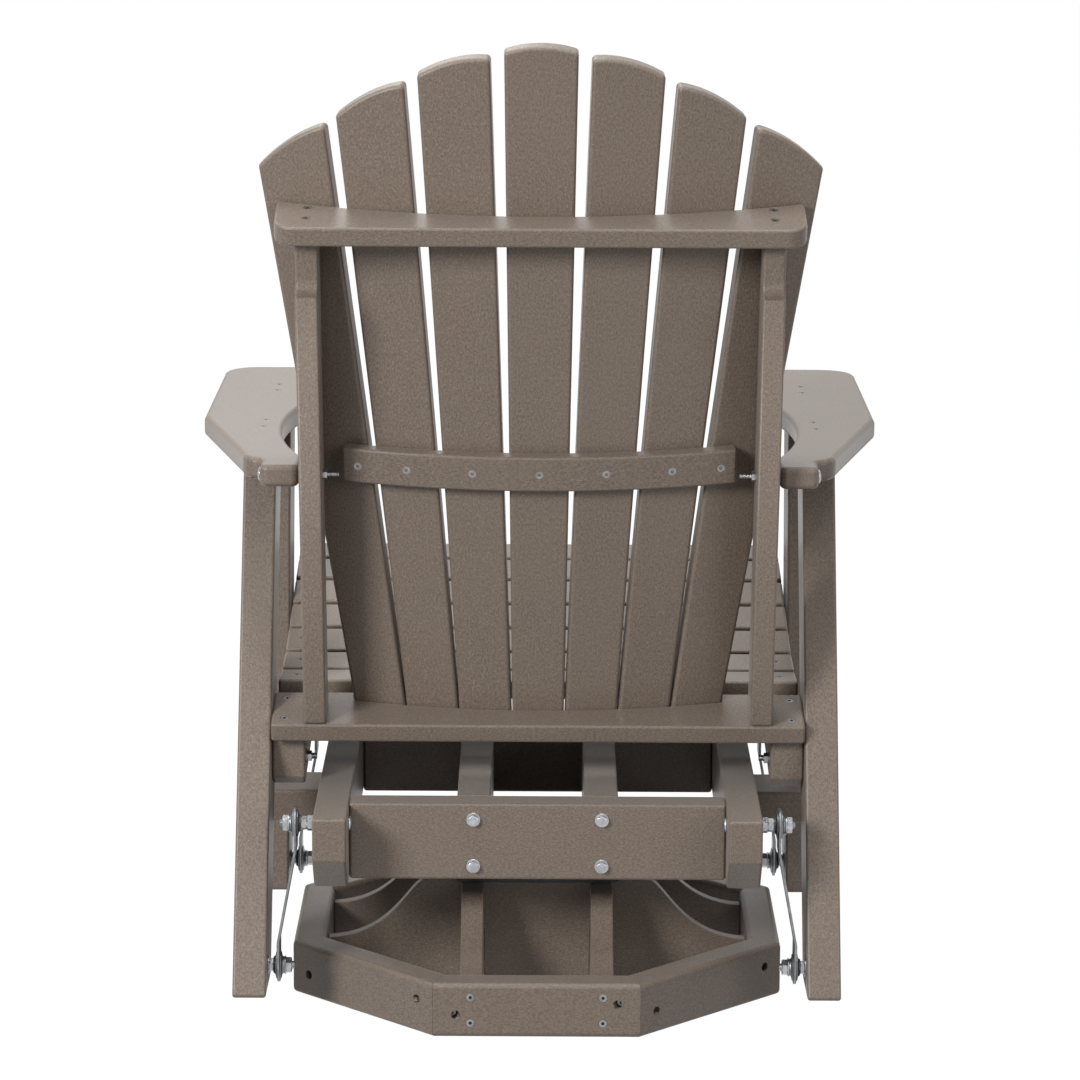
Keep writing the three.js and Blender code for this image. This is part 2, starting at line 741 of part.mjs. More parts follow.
// A back slat stands on its foot's middle, with x across and y up along its length. It widens
// upward. Its outer corner lies on the cosine arch that all the slats share, its inner corner
// lies a little lower, and its top rises between them in a crown.
// Half of a slat's width on one side. The outer edges of the two end slats flare more.
function backSlatHalf(index, side, rise) {
  const flares = Math.sign(side) * index === (back_slat_count - 1) / 2;
  const slope = Math.tan(flares ? back_end_slat_taper : back_slat_taper);
  return back_slat_foot_width / 2 + slope * rise;
}

function backSlatShape(index) {
  const fan = index * back_slat_fan;
  const foot_half = back_slat_foot_width / 2;
  const corner = (side) => {
    let rise = back_arch_peak;
    const spot = new THREE.Vector2();
    for (let pass = 0; pass < arch_passes; pass += 1) {
      spot.set(side * backSlatHalf(index, side, rise), rise);
      spot.rotateAround(new THREE.Vector2(), -fan);
      const across = (spot.x + index * back_slat_foot_pitch) / back_arch_reach;
      rise += back_arch_peak + back_slat_drop - back_arch_fall * (1 - Math.cos(across)) - spot.y;
    }
    if (side * index < 0) rise -= back_slat_inner_drop;
    return [side * backSlatHalf(index, side, rise), rise];
  };
  const [right_x, right_y] = corner(1);
  const [left_x, left_y] = corner(-1);
  const shape = new THREE.Shape();
  shape.moveTo(-foot_half, 0);
  shape.lineTo(foot_half, 0);
  shape.lineTo(right_x, right_y);
  shape.quadraticCurveTo((right_x + left_x) / 2, (right_y + left_y) / 2 + 2 * back_slat_crown,
    left_x, left_y);
  return shape;
}

// Where a slat's rear face stands: it meets the two curved boards with its edges
function backSlatPlace(index) {
  const levels = [-plank_thickness / 2, post_length + clearance + plank_thickness / 2];
  const across = levels.map((level) => {
    const rise = level + back_slat_drop;
    return index * (back_slat_foot_pitch + Math.tan(back_slat_fan) * rise);
  });
  const turn = (across[0] + across[1]) / 2 / back_curve_radius;
  const depths = levels.map((level, i) => {
    const rise = level + back_slat_drop;
    const slack = [-1, 1].map((side) => {
      const edge = side * backSlatHalf(index, side, rise);
      return backBoardDepth(across[i] + edge) - edge * Math.tan(turn);
    });
    return Math.max(...slack) + clearance;
  });
  const lean = (depths[1] - depths[0]) / (levels[1] - levels[0]);
  return { across, turn, depths, levels, lean };
}

// A slat's rear face at the batten's level, as the depth at each of its two edges
function backSlatEdges(index) {
  const { turn, depths, levels, lean } = backSlatPlace(index);
  const rise = batten_level + back_slat_drop;
  const middle = index * (back_slat_foot_pitch + Math.tan(back_slat_fan) * rise);
  const depth = depths[0] + lean * (batten_level - levels[0]);
  return [-1, 1].map((side) => {
    const edge = side * backSlatHalf(index, side, rise);
    return [middle + edge, depth + edge * Math.tan(turn)];
  });
}

// The batten bends to the slats: its front face is the tightest arc that none of them crosses
function battenShape() {
  const half = seat_rail_inner - post_thickness - batten_end_gap;
  const front = back_board_middle + clearance / 2;
  const last = (back_slat_count - 1) / 2;
  const radii = [];
  for (let i = 1; i <= last; i += 1) {
    backSlatEdges(i).forEach(([x, depth]) => {
      const sag = depth - front - clearance;
      radii.push((x ** 2 + sag ** 2) / 2 / sag);
    });
  }
  const radius = Math.max(...radii);
  const centre = -front - radius;
  const angle = Math.asin(half / radius);
  const outer = radius + batten_thickness;
  const shape = new THREE.Shape();
  longArc(shape, 0, centre, radius, Math.PI / 2 + angle, Math.PI / 2 - angle);
  longArc(shape, 0, centre, outer, Math.PI / 2 - angle, Math.PI / 2 + angle);
  return shape;
}

function buildBack(parent) {
  const back = new THREE.Group();
  back.position.set(0, back_foot_back, back_foot_height);
  back.rotation.x = -degrees(recline);
  parent.add(back);
  const board_half = leg_inner_half - clearance * 2;
  piece(back, 'lower_back_board', slab(lowerBoardShape(board_half), plank_thickness), lumber,
    at(0, 0, -plank_thickness));
  piece(back, 'top_back_rail', slab(topRailShape(top_rail_half, top_rail_corner),
    plank_thickness), lumber, at(0, 0, post_length + clearance));
  piece(back, 'back_batten', slab(battenShape(), batten_height), lumber,
    at(0, 0, batten_level - batten_height / 2));
  sides.forEach(([name, side]) => {
    sideBoard(back, `back_post_${name}`, slab(postShape(), post_thickness), lumber,
      seat_rail_inner - post_thickness, side, post_thickness);
  });
  const last = (back_slat_count - 1) / 2;
  for (let i = -last; i <= last; i += 1) {
    const { across, turn, depths, levels } = backSlatPlace(i);
    const foot = at(across[0], -depths[0], levels[0]);
    const up = at(across[1], -depths[1], levels[1]).sub(foot).normalize();
    const tangent = at(Math.cos(turn), -Math.sin(turn), 0);
    tangent.addScaledVector(up, -tangent.dot(up)).normalize();
    const foot_drop = (levels[0] + back_slat_drop) / up.z;
    foot.addScaledVector(up, -foot_drop);
    const number = last - i + 1;
    piece(back, `back_slat_${number}`, slab(backSlatShape(i), slat_thickness), lumber, foot,
      tangent, up);
  }
}

// The whole chair, moved so that the origin is under the middle of its box

const glider = new THREE.Group();
const base = new THREE.Group();
const turntable = new THREE.Group();
const chair = new THREE.Group();
glider.add(base, turntable, chair);

buildRing(base);
buildWebs(base);
buildBearing(base, turntable);
buildFrame(turntable);
buildLinkage(turntable, chair);
buildLegs(chair);
buildSeat(chair);
buildArms(chair);
buildBack(chair);

glider.updateMatrixWorld(true);
const box = new THREE.Box3().setFromObject(glider, true);
glider.position.y = -(box.min.y + box.max.y) / 2;

export default glider;
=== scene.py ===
"""Dresses the packed swivel glider chair: boards with routed edges, pivots, fixings, finishes and
the stage. Lengths are in metres in the row frame: +Z up, -Y to the front, +X to the sitter's left."""

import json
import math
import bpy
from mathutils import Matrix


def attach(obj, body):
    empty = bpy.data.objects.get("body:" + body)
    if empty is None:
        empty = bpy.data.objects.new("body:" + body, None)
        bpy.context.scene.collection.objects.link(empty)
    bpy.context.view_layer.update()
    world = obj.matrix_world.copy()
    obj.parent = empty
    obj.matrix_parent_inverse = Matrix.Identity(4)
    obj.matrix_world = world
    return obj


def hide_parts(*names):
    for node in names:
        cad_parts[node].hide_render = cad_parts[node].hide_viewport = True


bl_info = {
    "name": "Swivel Glider Chair",
    "version": (1, 0, 0),
    "blender": (4, 5, 0),
    "location": "View3D > Sidebar > Glider",
    "description": "Builds the boards, pivots, fixings and finishes of a swivel glider chair",
    "category": "Object",
}

import bpy
import numpy as np
from bpy.props import FloatProperty, FloatVectorProperty, PointerProperty
from mathutils import Matrix
from mathutils.geometry import delaunay_2d_cdt

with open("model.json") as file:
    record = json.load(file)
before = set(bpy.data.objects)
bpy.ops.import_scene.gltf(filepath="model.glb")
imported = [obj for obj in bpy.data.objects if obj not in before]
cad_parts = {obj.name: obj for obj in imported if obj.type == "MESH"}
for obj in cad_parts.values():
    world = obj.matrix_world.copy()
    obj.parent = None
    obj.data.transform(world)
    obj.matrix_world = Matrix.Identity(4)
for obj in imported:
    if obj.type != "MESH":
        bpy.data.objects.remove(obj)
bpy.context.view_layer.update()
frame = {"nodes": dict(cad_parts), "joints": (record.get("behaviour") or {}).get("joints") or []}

SWIVEL_Y = frame["joints"][0]["pos_m"][1]
SIDES = (("left", 1), ("right", -1))
ENDS = (("rear", 1), ("front", -1))
RING_BOARDS = ("left", "rear_left", "rear", "rear_right", "right", "front_right", "front",
               "front_left")
END_SLAT = 3
X, Y, Z = np.eye(3)

# Steps along curves, passes towards the arch, and sides of turned parts

EDGE_STEPS = 5
CORNER_STEPS = 5
CURVE_STEPS = 40
HEAD_STEPS = 9
CUP_STEPS = 7
BEND_STEPS = 7
TIP_STEPS = 16
LINE_STEPS = 4000
SHOULDER_STEPS = 9
ARCH_PASSES = 12
ROUND_SIDES = 40
FINE_SIDES = 24
SIDES_PER_FLAT = 8
NUT_FLATS = 6

# Angles, and shares of a size, that shape small parts

POLE_ANGLE = 0.12
SHARP_ANGLE = math.radians(32)
NUT_CHAMFER = math.radians(30)
NUT_FACE = 0.97
HEAD_SKIRT = 0.15
HEAD_FOOT = 0.98
THREAD_DEPTH = 0.4
THREAD_TIP = 0.7
BAR_EASE = 0.2
SMALL_NUT = 0.86
TAIL_GAPS = 10
CROWN_START = 0.16

# How a face with holes is filled: rows of a hole's wall, the share of its radius within which a
# face counts as inside it, the span taken as one spot, and the mode that keeps what lies inside

WALL_STEPS = 3
HOLE_INSIDE = 0.97
SAME_SPOT = 1e-7
INSIDE_CONSTRAINTS = 1

# Places of the fixings on their boards, in metres or as a share of a height, depth or thickness.
# A pocket is its place along its board, its level and its lean

POCKETS = ((-0.091, 0.42, -0.45), (0.091, 0.62, 0.45))
POCKET_SCREW_ALONG = 0.8
POCKET_SCREW_DOWN = 0.75
WEB_SCREW_LEVELS = (0.27, 0.74)
FRAME_BOLT_LEVELS = (0.18, 0.79)
SEAT_RAIL_BOLTS = {"rear": (0.1, 0.28), "front": (-0.274, 0.33)}
SEAT_SCREW_IN = 0.4
ARM_SCREW_X = 0.325
ARM_SCREW_YS = (-0.358, -0.313, -0.098, -0.053)
ARM_BOLT_Y = 0.185
LOWER_SCREW_X = 0.291
LOWER_SCREW_YS = (-0.066, -0.017)
TOP_SCREW_YS = (-0.062, -0.031)
BATTEN_SCREW_XS = (-0.204, -0.149, -0.075, 0, 0.075, 0.149, 0.204)
BATTEN_SCREW_OUT = 1.6

# Heads and tails of the rails' and arms' bolts, as shares of a nut's size or a bolt's radius

RAIL_TAIL_END = 2.2
RAIL_TAIL = 1.6
RAIL_TAIL_RADIUS = 0.8
ARM_TAIL = 3.6
ARM_TAIL_RADIUS = 0.62
ARM_HEAD_RADIUS = 0.7
ARM_HEAD_HEIGHT = 0.6

# Where in the grain the boards of each kind start

GRAIN_STEP = np.array([1.37, 0.61, 0.83])
GRAIN = {
    "ring": 0, "long_web": 8, "cross_web": 11, "side_rail": 14, "stop_block": 17,
    "inner_rail": 20, "cross_board": 23, "front_leg": 26, "rear_leg": 31, "arm": 38,
    "seat_slat": 41, "apron": 50, "seat_rail": 52, "lower_back_board": 55, "top_back_rail": 56,
    "post": 58, "batten": 61, "back_slat": 66,
}

# The stage: each lamp has its power's name, its size and its place

LAMPS = (
    ("key_lamp", "key_light", 1.2, (2.7, 3.4, 2.25)),
    ("right_lamp", "fill_light", 2, (-2.6, 3.4, 1.9)),
    ("top_lamp", "top_light", 2.4, (0, 0.5, 4.8)),
    ("front_lamp", "front_light", 2.4, (1.2, -3.3, 3.9)),
)
LAMP_TARGET = (0, SWIVEL_Y, 0.5)
WHITE = (1, 1, 1)
FLOOR_SHADE = (0.08, 0.08, 0.08)
FLOOR_GLOW = 0.98
FLOOR_HEIGHT = -0.0004
SENSOR_WIDTH = 36
CAMERA_RANGE = (0.05, 200)


# Properties


def length(description, millimetres):
    return FloatProperty(
        description=description, default=millimetres / 1000, unit="LENGTH", precision=4
    )


def angle(description, degrees):
    return FloatProperty(description=description, default=math.radians(degrees), subtype="ANGLE")


def plain(description, value):
    return FloatProperty(description=description, default=value, precision=4)


def holder(group):
    return PointerProperty(type=group, description=group.__doc__)


def linear(value):
    """A stored colour value of 0 to 255 as light: the usual power curve with its straight foot."""
    value /= 255
    return value / 12.92 if value <= 0.04045 else ((value + 0.055) / 1.055) ** 2.4


def colour(description, *values):
    return FloatVectorProperty(
        description=description, subtype="COLOR", size=3, min=0, max=1,
        default=[linear(value) for value in values],
    )


class GliderLumber(bpy.types.PropertyGroup):
    """The sections of the boards"""

    gap: length("Space between boards that meet", 0.3)
    stud_thickness: length("Thickness of the heavy boards", 38.1)
    stud_width: length("Width of the heavy boards", 88.9)
    plank_thickness: length("Thickness of seat and curved boards", 22.2)
    slat_thickness: length("Thickness of the back slats", 20)
    arm_thickness: length("Thickness of the arms", 25.4)
    post_thickness: length("Thickness of the back posts", 25.4)
    post_depth: length("Depth of the back posts", 63.5)
    edge_round: length("Radius of the routed edges", 3.2)
    corner_round: length("Radius of the boards' corners", 3.7)
    bold_round: length("Radius of the edges of arms and back slats", 4.2)
    bold_corner: length("Radius of the corners of arms and back slats", 5)
    fine_round: length("Radius of the edges of the webs", 1.2)
    fine_corner: length("Radius of the corners of the webs", 1.6)


class GliderBase(bpy.types.PropertyGroup):
    """The ring and the webs that stand on the floor"""

    ring_apothem: length("From the swivel axis to a ring board's outer face", 283.3)
    ring_height: length("Height of the ring boards", 63.5)
    ring_round: length("Radius of the ring boards' long edges", 6.5)
    web_lift: length("Height of the webs' undersides", 3)
    web_end_height: length("Height of a web at the ring", 55)
    web_top: length("Height of a web under the bearing", 127)
    web_plateau_half: length("Half of a web's level top", 128)
    long_web_thickness: length("Thickness of the front-to-rear webs", 25.4)
    long_web_offset: length("From the axis to a front-to-rear web", 74.8)
    cross_web_thickness: length("Thickness of the side-to-side webs", 16)
    cross_web_offset: length("From the axis to a side-to-side web", 71)
    crest_share: plain("How far the web's crest reaches into its fall", 0.188)
    foot_share: plain("How far the web's foot reaches into its fall", 0.316)
    foot_rise_share: plain("Height of the foot's pull in the web's fall", 0.04)


class GliderFrame(bpy.types.PropertyGroup):
    """The box frame that turns on the bearing"""

    foot: length("Height of the frame's underside", 164.8)
    inner_half: length("From the middle to a side rail", 213.9)
    half_length: length("Half the length of a side rail", 284)
    end_chamfer: length("Chamfer under a side rail's end", 40)
    cross_outer: length("From the axis to a cross board's outer face", 213)
    inner_rail_offset: length("From the middle to an inner rail", 72.9)
    block_middle: length("Place of the stop block along its rail", -79.45)
    block_reach: length("From the middle to a stop block's outer end", 340)


class GliderLinks(bpy.types.PropertyGroup):
    """The joggled links and their pivot bolts"""

    pivot_half: length("From the axis to a pivot, front or rear", 223)
    upper_height: length("Height of the upper pivots", 233.2)
    link_length: length("From pivot to pivot", 167.3)
    upper_plane: length("From the middle to a link's upper end", 273.6)
    lower_plane: length("From the middle to a link's lower end", 293.5)
    thickness: length("Thickness of the flat bar", 3.2)
    width: length("Width of the flat bar", 38)
    straight: length("From a pivot to the bend beside it", 30)
    bend_radius: length("Inner radius of the bends", 12)
    cup_radius: length("Radius of the pressed cups", 15.5)
    cup_depth: length("How far a cup stands off its bar", 4.6)
    hub_radius: length("Radius of a cup's flat hub", 9.5)
    bush_radius: length("Radius of the black bush in a cup", 7.6)
    bolt_radius: length("Radius of the pivot bolts", 4.8)
    thread_pitch: length("From one thread to the next", 1.5)
    nut_across: length("Width of the nuts", 16)
    nut_thickness: length("Thickness of the nuts", 6.5)
    washer_radius: length("Radius of the washers", 10.5)
    washer_thickness: length("Thickness of the washers", 1.6)
    head_radius: length("Radius of the round bolt heads", 8.5)
    head_height: length("Height of the round bolt heads", 4.6)
    low_head_height: length("Height of the low heads on the legs", 1.2)


class GliderLegs(bpy.types.PropertyGroup):
    """The leaning legs"""

    inner_half: length("From the middle to a leg", 306.4)
    foot_height: length("Height of the legs' feet above the floor", 38)
    rear_foot_back: length("Rear edge of the rear foot", 265)
    rear_lean: angle("How far the rear legs lean", 25)
    front_foot_back: length("Rear edge of the front foot", -174)
    front_lean: angle("How far the front legs lean", 11)


class GliderArms(bpy.types.PropertyGroup):
    """The paddle arms"""

    top: length("Height of the arms", 640)
    inner: length("From the middle to an arm's inner edge", 268.9)
    outer: length("From the middle to an arm's outer edge", 400)
    front: length("Front edge of an arm", -500)
    back: length("Rear end of an arm", 200)
    corner: length("Radius of the outer front corner", 43)
    small_corner: length("Radius of the smaller corners", 14)
    taper_start: length("Where the outer edge starts to taper", -126)
    taper_end: length("Where the outer edge's taper ends", 124)
    taper_outer: length("From the middle to the end of the taper", 337)
    taper_corner: length("Radius of the corner behind the taper", 27)
    edge_round: length("Radius of the arms' routed edges", 6.5)
    tongue_corner: length("Radius of the corners of the narrow end", 9)
    tongue_fillet: length("Radius of the hollow where the narrow end starts", 12)
    tongue_width: length("Width of the end beside the post", 44)
    tongue_start: length("Where the narrow end starts", 152)
    scallop_middle: length("Middle of the scooped inner edge", -71)
    scallop_half: length("Half the length of the scooped inner edge", 205)
    scallop_depth: length("Depth of the scooped inner edge", 33)


class GliderSeat(bpy.types.PropertyGroup):
    """The contoured seat"""

    half_length: length("Half the length of the seat slats", 303)
    slat_width: length("Width of the seat slats", 63.5)
    slat_gap: length("Space between the seat slats", 9.5)
    back: length("Rear top edge of the rear slat", 48)
    back_height: length("Height of the rear slat's top edge", 358)
    apron_height: length("Height of the board under the front slat", 63.5)
    rail_inner: length("From the middle to a seat rail", 268)
    rail_back: length("Rear end of a seat rail", 125)
    rail_foot: length("Underside of a seat rail at its rear", 251)
    rail_chamfer: length("Chamfer at a seat rail's rear foot", 10)
    rail_front_foot: length("Underside of a seat rail at its front", 325)
    tilts: FloatVectorProperty(
        description="Tilt of each seat slat, from the rear forward",
        size=7, default=[math.radians(a) for a in (-2, 4, 10.5, 11.5, 12, 9.5, 4)], subtype="NONE",
    )


class GliderBack(bpy.types.PropertyGroup):
    """The reclined back"""

    recline: angle("How far the back leans", 14)
    foot_back: length("Rear edge of the lower back board", 149.4)
    foot_height: length("Top of the lower back board's rear edge", 329)
    curve_radius: length("Radius of the boards that the slats lie on", 1000)
    board_middle: length("Depth of the curved boards in the middle", 40)
    lower_half: length("Half the length of the lower board", 305.8)
    lower_end_depth: length("Depth of that board past the slats", 82)
    lower_end_gap: length("From the slats to where its depth is full", 0)
    lower_end_slope: length("Run of the step to the full depth", 1)
    top_half: length("Half the length of the top rail", 290)
    top_corner: length("Radius of the top rail's rear corners", 23)
    post_length: length("Length of the posts", 585)
    post_step: length("How far a post steps in near its top", 19)
    post_shoulder: length("Where a post steps in", 525)
    slat_drop: length("How far the slats reach below the lower board's top", 30)
    foot_width: length("Width of a back slat at its foot", 58.8)
    foot_pitch: length("From one slat to the next at their feet", 60.1)
    fan: angle("How far each slat leans from its neighbour", math.degrees(0.0434))
    taper: angle("How far a slat's edge leans from its middle", math.degrees(0.0131))
    end_taper: angle("The same for the outer edges of the end slats",
                     math.degrees(0.0197))
    arch_peak: length("Height of the arch that the slat tops follow", 796)
    arch_fall: length("Depth of that arch's cosine", 182)
    arch_reach: length("Place across for each radian of that cosine", 224)
    crown: length("How far each slat's top rises above its corners", 6.5)
    inner_drop: length("How far a slat's inner corner lies below the arch", 5)
    batten_level: length("Height of the batten along the posts", 304)
    batten_height: length("Height of the batten", 42)
    batten_thickness: length("Thickness of the batten", 16)
    batten_half: length("Half the length of the batten", 218.6)


class GliderFixings(bpy.types.PropertyGroup):
    """Wood screws, pocket holes and frame bolts"""

    hole_radius: length("Radius of a screw's sink", 4.9)
    hole_depth: length("Depth of a screw's sink", 3.2)
    screw_radius: length("Radius of a screw's head", 4.6)
    screw_sink: length("How far a head lies under the face", 0.2)
    drive_radius: length("Radius of the drive in a head", 1.9)
    pocket_radius: length("Radius of a pocket hole", 5.4)
    pocket_depth: length("Depth of a pocket hole", 13)
    frame_bolt_across: length("Width of the frame's bolt heads", 11)
    frame_bolt_height: length("Height of the frame's bolt heads", 5)
    frame_washer_radius: length("Radius of the frame's washers", 8.2)
    side_bolt_across: length("Width of the nuts inside the rails", 11)


class GliderFinishes(bpy.types.PropertyGroup):
    """The colours of the finishes"""

    lumber: colour("Main colour of the boards", 120, 107, 96)
    lumber_dark: colour("Darker colour in the boards", 95, 83, 72)
    lumber_fleck: colour("Pale flecks in the boards", 154, 140, 126)
    zinc: colour("Plated bolts, nuts and washers", 182, 184, 187)
    screw: colour("Heads of the wood screws", 150, 151, 151)
    steel: colour("Flat bars of the links", 142, 145, 148)
    # The bearing plates' dark grey is painted shade for the strip under the frame
    plate: colour("Dull plates of the bearing", 66, 66, 66)
    bush: colour("Black bushes", 24, 24, 25)


class GliderStage(bpy.types.PropertyGroup):
    """The camera, the lights and the floor"""

    camera_back: length("From the swivel axis to the camera", 4804.85)
    camera_height: length("Height of the camera", 1487.22)
    camera_pitch: angle("How far the camera looks down", 11.43)
    camera_yaw: angle("How far the camera turns off the middle", -0.014)
    camera_roll: angle("How far the camera leans", 0.3)
    lens: plain("Focal length in millimetres", 139.69)
    world_light: plain("Soft light all round", 0.22)
    key_light: plain("Power of the key lamp", 176)
    fill_light: plain("Power of the right lamp", 46)
    top_light: plain("Power of the top lamp", 120)
    front_light: plain("Power of the front lamp", 48)
    floor_half: length("Half the width of the floor", 40000)


class Glider(bpy.types.PropertyGroup):
    """All sizes and colours of the chair"""

    lumber: holder(GliderLumber)
    base: holder(GliderBase)
    frame: holder(GliderFrame)
    links: holder(GliderLinks)
    legs: holder(GliderLegs)
    arms: holder(GliderArms)
    seat: holder(GliderSeat)
    back: holder(GliderBack)
    fixings: holder(GliderFixings)
    finishes: holder(GliderFinishes)
    stage: holder(GliderStage)


# Surfaces


class Shell:
    """A surface in the making: points, each with its place in the grain and how far it lies on a
    routed edge, and faces, each with a normal for each of its corners."""

    def __init__(self):
        self.points, self.grain, self.routed = [], [], []
        self.faces, self.normals, self.finishes = [], [], []
        self.count = 0

    def add_points(self, points, routed=0.0):
        """Adds points and returns their numbers in the same layout."""
        places = np.asarray(points, float).reshape(-1, 3)
        numbers = self.count + np.arange(len(places))
        self.points.append(places)
        self.routed.append(np.broadcast_to(routed, np.shape(points)[:-1]).reshape(-1))
        self.count += len(places)
        return numbers.reshape(np.shape(points)[:-1])

    def add_faces(self, faces, normals):
        """Faces are rows of point numbers. One normal serves all corners, or each has its own."""
        faces = np.asarray(faces)
        self.faces.extend(faces.tolist())
        self.normals.append(np.broadcast_to(normals, (*faces.shape, 3)).reshape(-1, 3))
        self.finishes.extend([0] * len(faces))

    def add_grid(self, points, normals, around=True, routed=0.0):
        """Joins each row of a grid of points to the next, and its last column to its first."""
        numbers = self.add_points(points, routed)
        first, second = numbers, np.roll(numbers, -1, 1)
        if not around:
            first, second = numbers[:, :-1], numbers[:, 1:]
        quads = np.stack([first[:-1], second[:-1], second[1:], first[1:]], -1).reshape(-1, 4)
        flat = np.asarray(normals, float).reshape(-1, 3)
        self.add_faces(quads, flat[quads - numbers[0, 0]])
        return numbers

    def place(self, origin, along_x, along_y, lengthwise=0, board=0):
        """Moves the shell so that its x and y run along two directions. The grain keeps the
        place inside the board, lengthwise first, and each board starts elsewhere in it."""
        turn = np.array([along_x, along_y, np.cross(along_x, along_y)])
        places = np.concatenate(self.points)
        self.grain = [places[:, [lengthwise, 1 - lengthwise, 2]] + GRAIN_STEP * board]
        self.points = [places @ turn + origin]
        self.normals = [np.concatenate(self.normals) @ turn]
        return self

    def join(self, *others):
        """Takes in the surfaces of other shells."""
        for other in others:
            self.faces += [[number + self.count for number in face] for face in other.faces]
            for rows in ("points", "grain", "routed", "normals", "finishes"):
                getattr(self, rows).extend(getattr(other, rows))
            self.count += other.count
        return self


def unit(vectors):
    return vectors / np.linalg.norm(vectors, axis=-1, keepdims=True)


def turned_by(vectors, angles):
    """Plane vectors turned anticlockwise: (x cos a - y sin a, x sin a + y cos a)."""
    c, s = np.cos(angles), np.sin(angles)
    x, y = vectors[..., 0], vectors[..., 1]
    return np.stack([x * c - y * s, x * s + y * c], -1)


def eased(points, radius):
    """A closed outline with each corner cut by an arc of its own radius, where t runs from 0 to 1
    through the turn, and the outward normal at each point. A radius of 0 leaves one smooth point."""
    points = np.asarray(points, float)
    radius = np.broadcast_to(np.asarray(radius, float), len(points))
    come = unit(points - np.roll(points, 1, 0))
    go = np.roll(come, -1, 0)
    turn = np.arctan2(come[:, 0] * go[:, 1] - come[:, 1] * go[:, 0], (come * go).sum(1))
    start = points - come * np.abs(radius * np.tan(turn / 2))[:, None]
    left = turned_by(come, np.full(len(points), math.pi / 2))
    spoke = -left * (np.sign(turn) * radius)[:, None]
    t = np.linspace(0, 1, CORNER_STEPS + 1)
    smooth = radius == 0
    through = np.where(smooth[:, None], 0.5, t[None]) * turn[:, None]
    places = (start - spoke)[:, None] + turned_by(spoke[:, None], through)
    normals = turned_by(-left[:, None] + np.zeros((1, len(t), 1)), through)
    kept = np.ones(through.shape, bool)
    kept[smooth, 1:] = False
    return places[kept], normals[kept]


def rounded(points, radius, corners):
    """A closed outline that is smooth but for some of its corners, which are cut by one arc."""
    radii = np.zeros(len(points))
    radii[corners] = radius
    return eased(points, radii)


def rectangle(x0, y0, x1, y1):
    return np.array([[x0, y0], [x1, y0], [x1, y1], [x0, y1]])


def spins(sides):
    return np.arange(sides) / sides * 2 * math.pi


def cut_face(shell, loop, numbers, level, holes):
    """Fills a flat face at a height, with round holes left out of it. A hole is its middle,
    radius, depth and lean, and its wall goes down from the face: radius times (cos a, sin a)."""
    places, edges, indices = [loop], [np.arange(len(loop))], [numbers]
    start = len(loop)
    spin = spins(FINE_SIDES)
    for x, y, radius, depth, lean in holes:
        rim = np.stack([x + radius * np.cos(spin), y + radius * np.sin(spin)], -1)
        drop = np.linspace(0, depth, WALL_STEPS)
        wall = np.zeros((WALL_STEPS, FINE_SIDES, 3))
        wall[..., :2] = rim + (drop * lean)[:, None, None] * X[:2]
        wall[..., 2] = level - drop[:, None]
        inward = np.zeros(wall.shape)
        inward[..., :2] = unit(np.array([x, y]) - rim)
        made = shell.add_grid(wall, inward)
        shell.add_faces(made[-1:], Z)
        places.append(rim)
        edges.append(start + np.arange(FINE_SIDES))
        indices.append(made[0])
        start += FINE_SIDES
    pairs = np.concatenate([np.stack([e, np.roll(e, -1)], 1) for e in edges])
    spots, _, faces, sources, _, _ = delaunay_2d_cdt(
        np.concatenate(places).tolist(), pairs.tolist(), [], INSIDE_CONSTRAINTS, SAME_SPOT
    )
    source = np.array([s[0] for s in sources])
    faces = np.array(faces)
    middle = np.array([list(s) for s in spots])[faces].mean(1)
    kept = np.ones(len(faces), bool)
    for x, y, radius, _, _ in holes:
        kept &= np.hypot(middle[:, 0] - x, middle[:, 1] - y) > radius * HOLE_INSIDE
    shell.add_faces(np.concatenate(indices)[source[faces[kept]]], Z)


def board(outline, thickness, edge_round, holes=()):
    """A board from its outline. The section's edge is a quarter circle of the edge's radius r:
    inset r (1 - sin a), height r (1 - cos a), and the wall stands between two such edges."""
    loop, outward = outline
    bend = np.linspace(0, math.pi / 2, EDGE_STEPS + 1)
    inset = edge_round * (1 - np.sin(bend))
    rise = edge_round * (1 - np.cos(bend))
    both = np.concatenate([bend, bend[::-1]])[:, None]
    levels = np.concatenate([rise, thickness - rise[::-1]])[:, None]
    points = np.zeros((len(levels), len(loop), 3))
    points[..., :2] = loop - outward * np.concatenate([inset, inset[::-1]])[:, None, None]
    points[..., 2] = levels
    normals = np.zeros(points.shape)
    normals[..., :2] = outward * np.sin(both)[..., None]
    normals[..., 2] = np.cos(both) * np.repeat([-1, 1], len(bend))[:, None]
    shell = Shell()
    numbers = shell.add_grid(points, normals, routed=np.sin(2 * both))
    shell.add_faces(numbers[:1, ::-1], -Z)
    if len(holes):
        cut_face(shell, points[-1, :, :2], numbers[-1], thickness, holes)
    else:
        shell.add_faces(numbers[-1:], Z)
    return shell


def closed(points):
    """A surface through rows of points, closed by a flat face on its first row and its last.
    It takes its normals from its faces, as hardware does."""
    shell = Shell()
    numbers = shell.add_grid(points, np.zeros(points.shape))
    shell.add_faces(numbers[:1, ::-1], Z)
    shell.add_faces(numbers[-1:], Z)
    return shell


def turned(radius, height, sides):
    """Rows of radii and heights carried round: (radius cos a, radius sin a, height)."""
    spin = spins(sides)
    rows = np.broadcast_arrays(radius * np.cos(spin), radius * np.sin(spin), height)
    return closed(np.stack(rows, -1))


def turned_part(profile, sides=ROUND_SIDES):
    profile = np.asarray(profile, float)
    return turned(profile[:, :1], profile[:, 1:], sides)


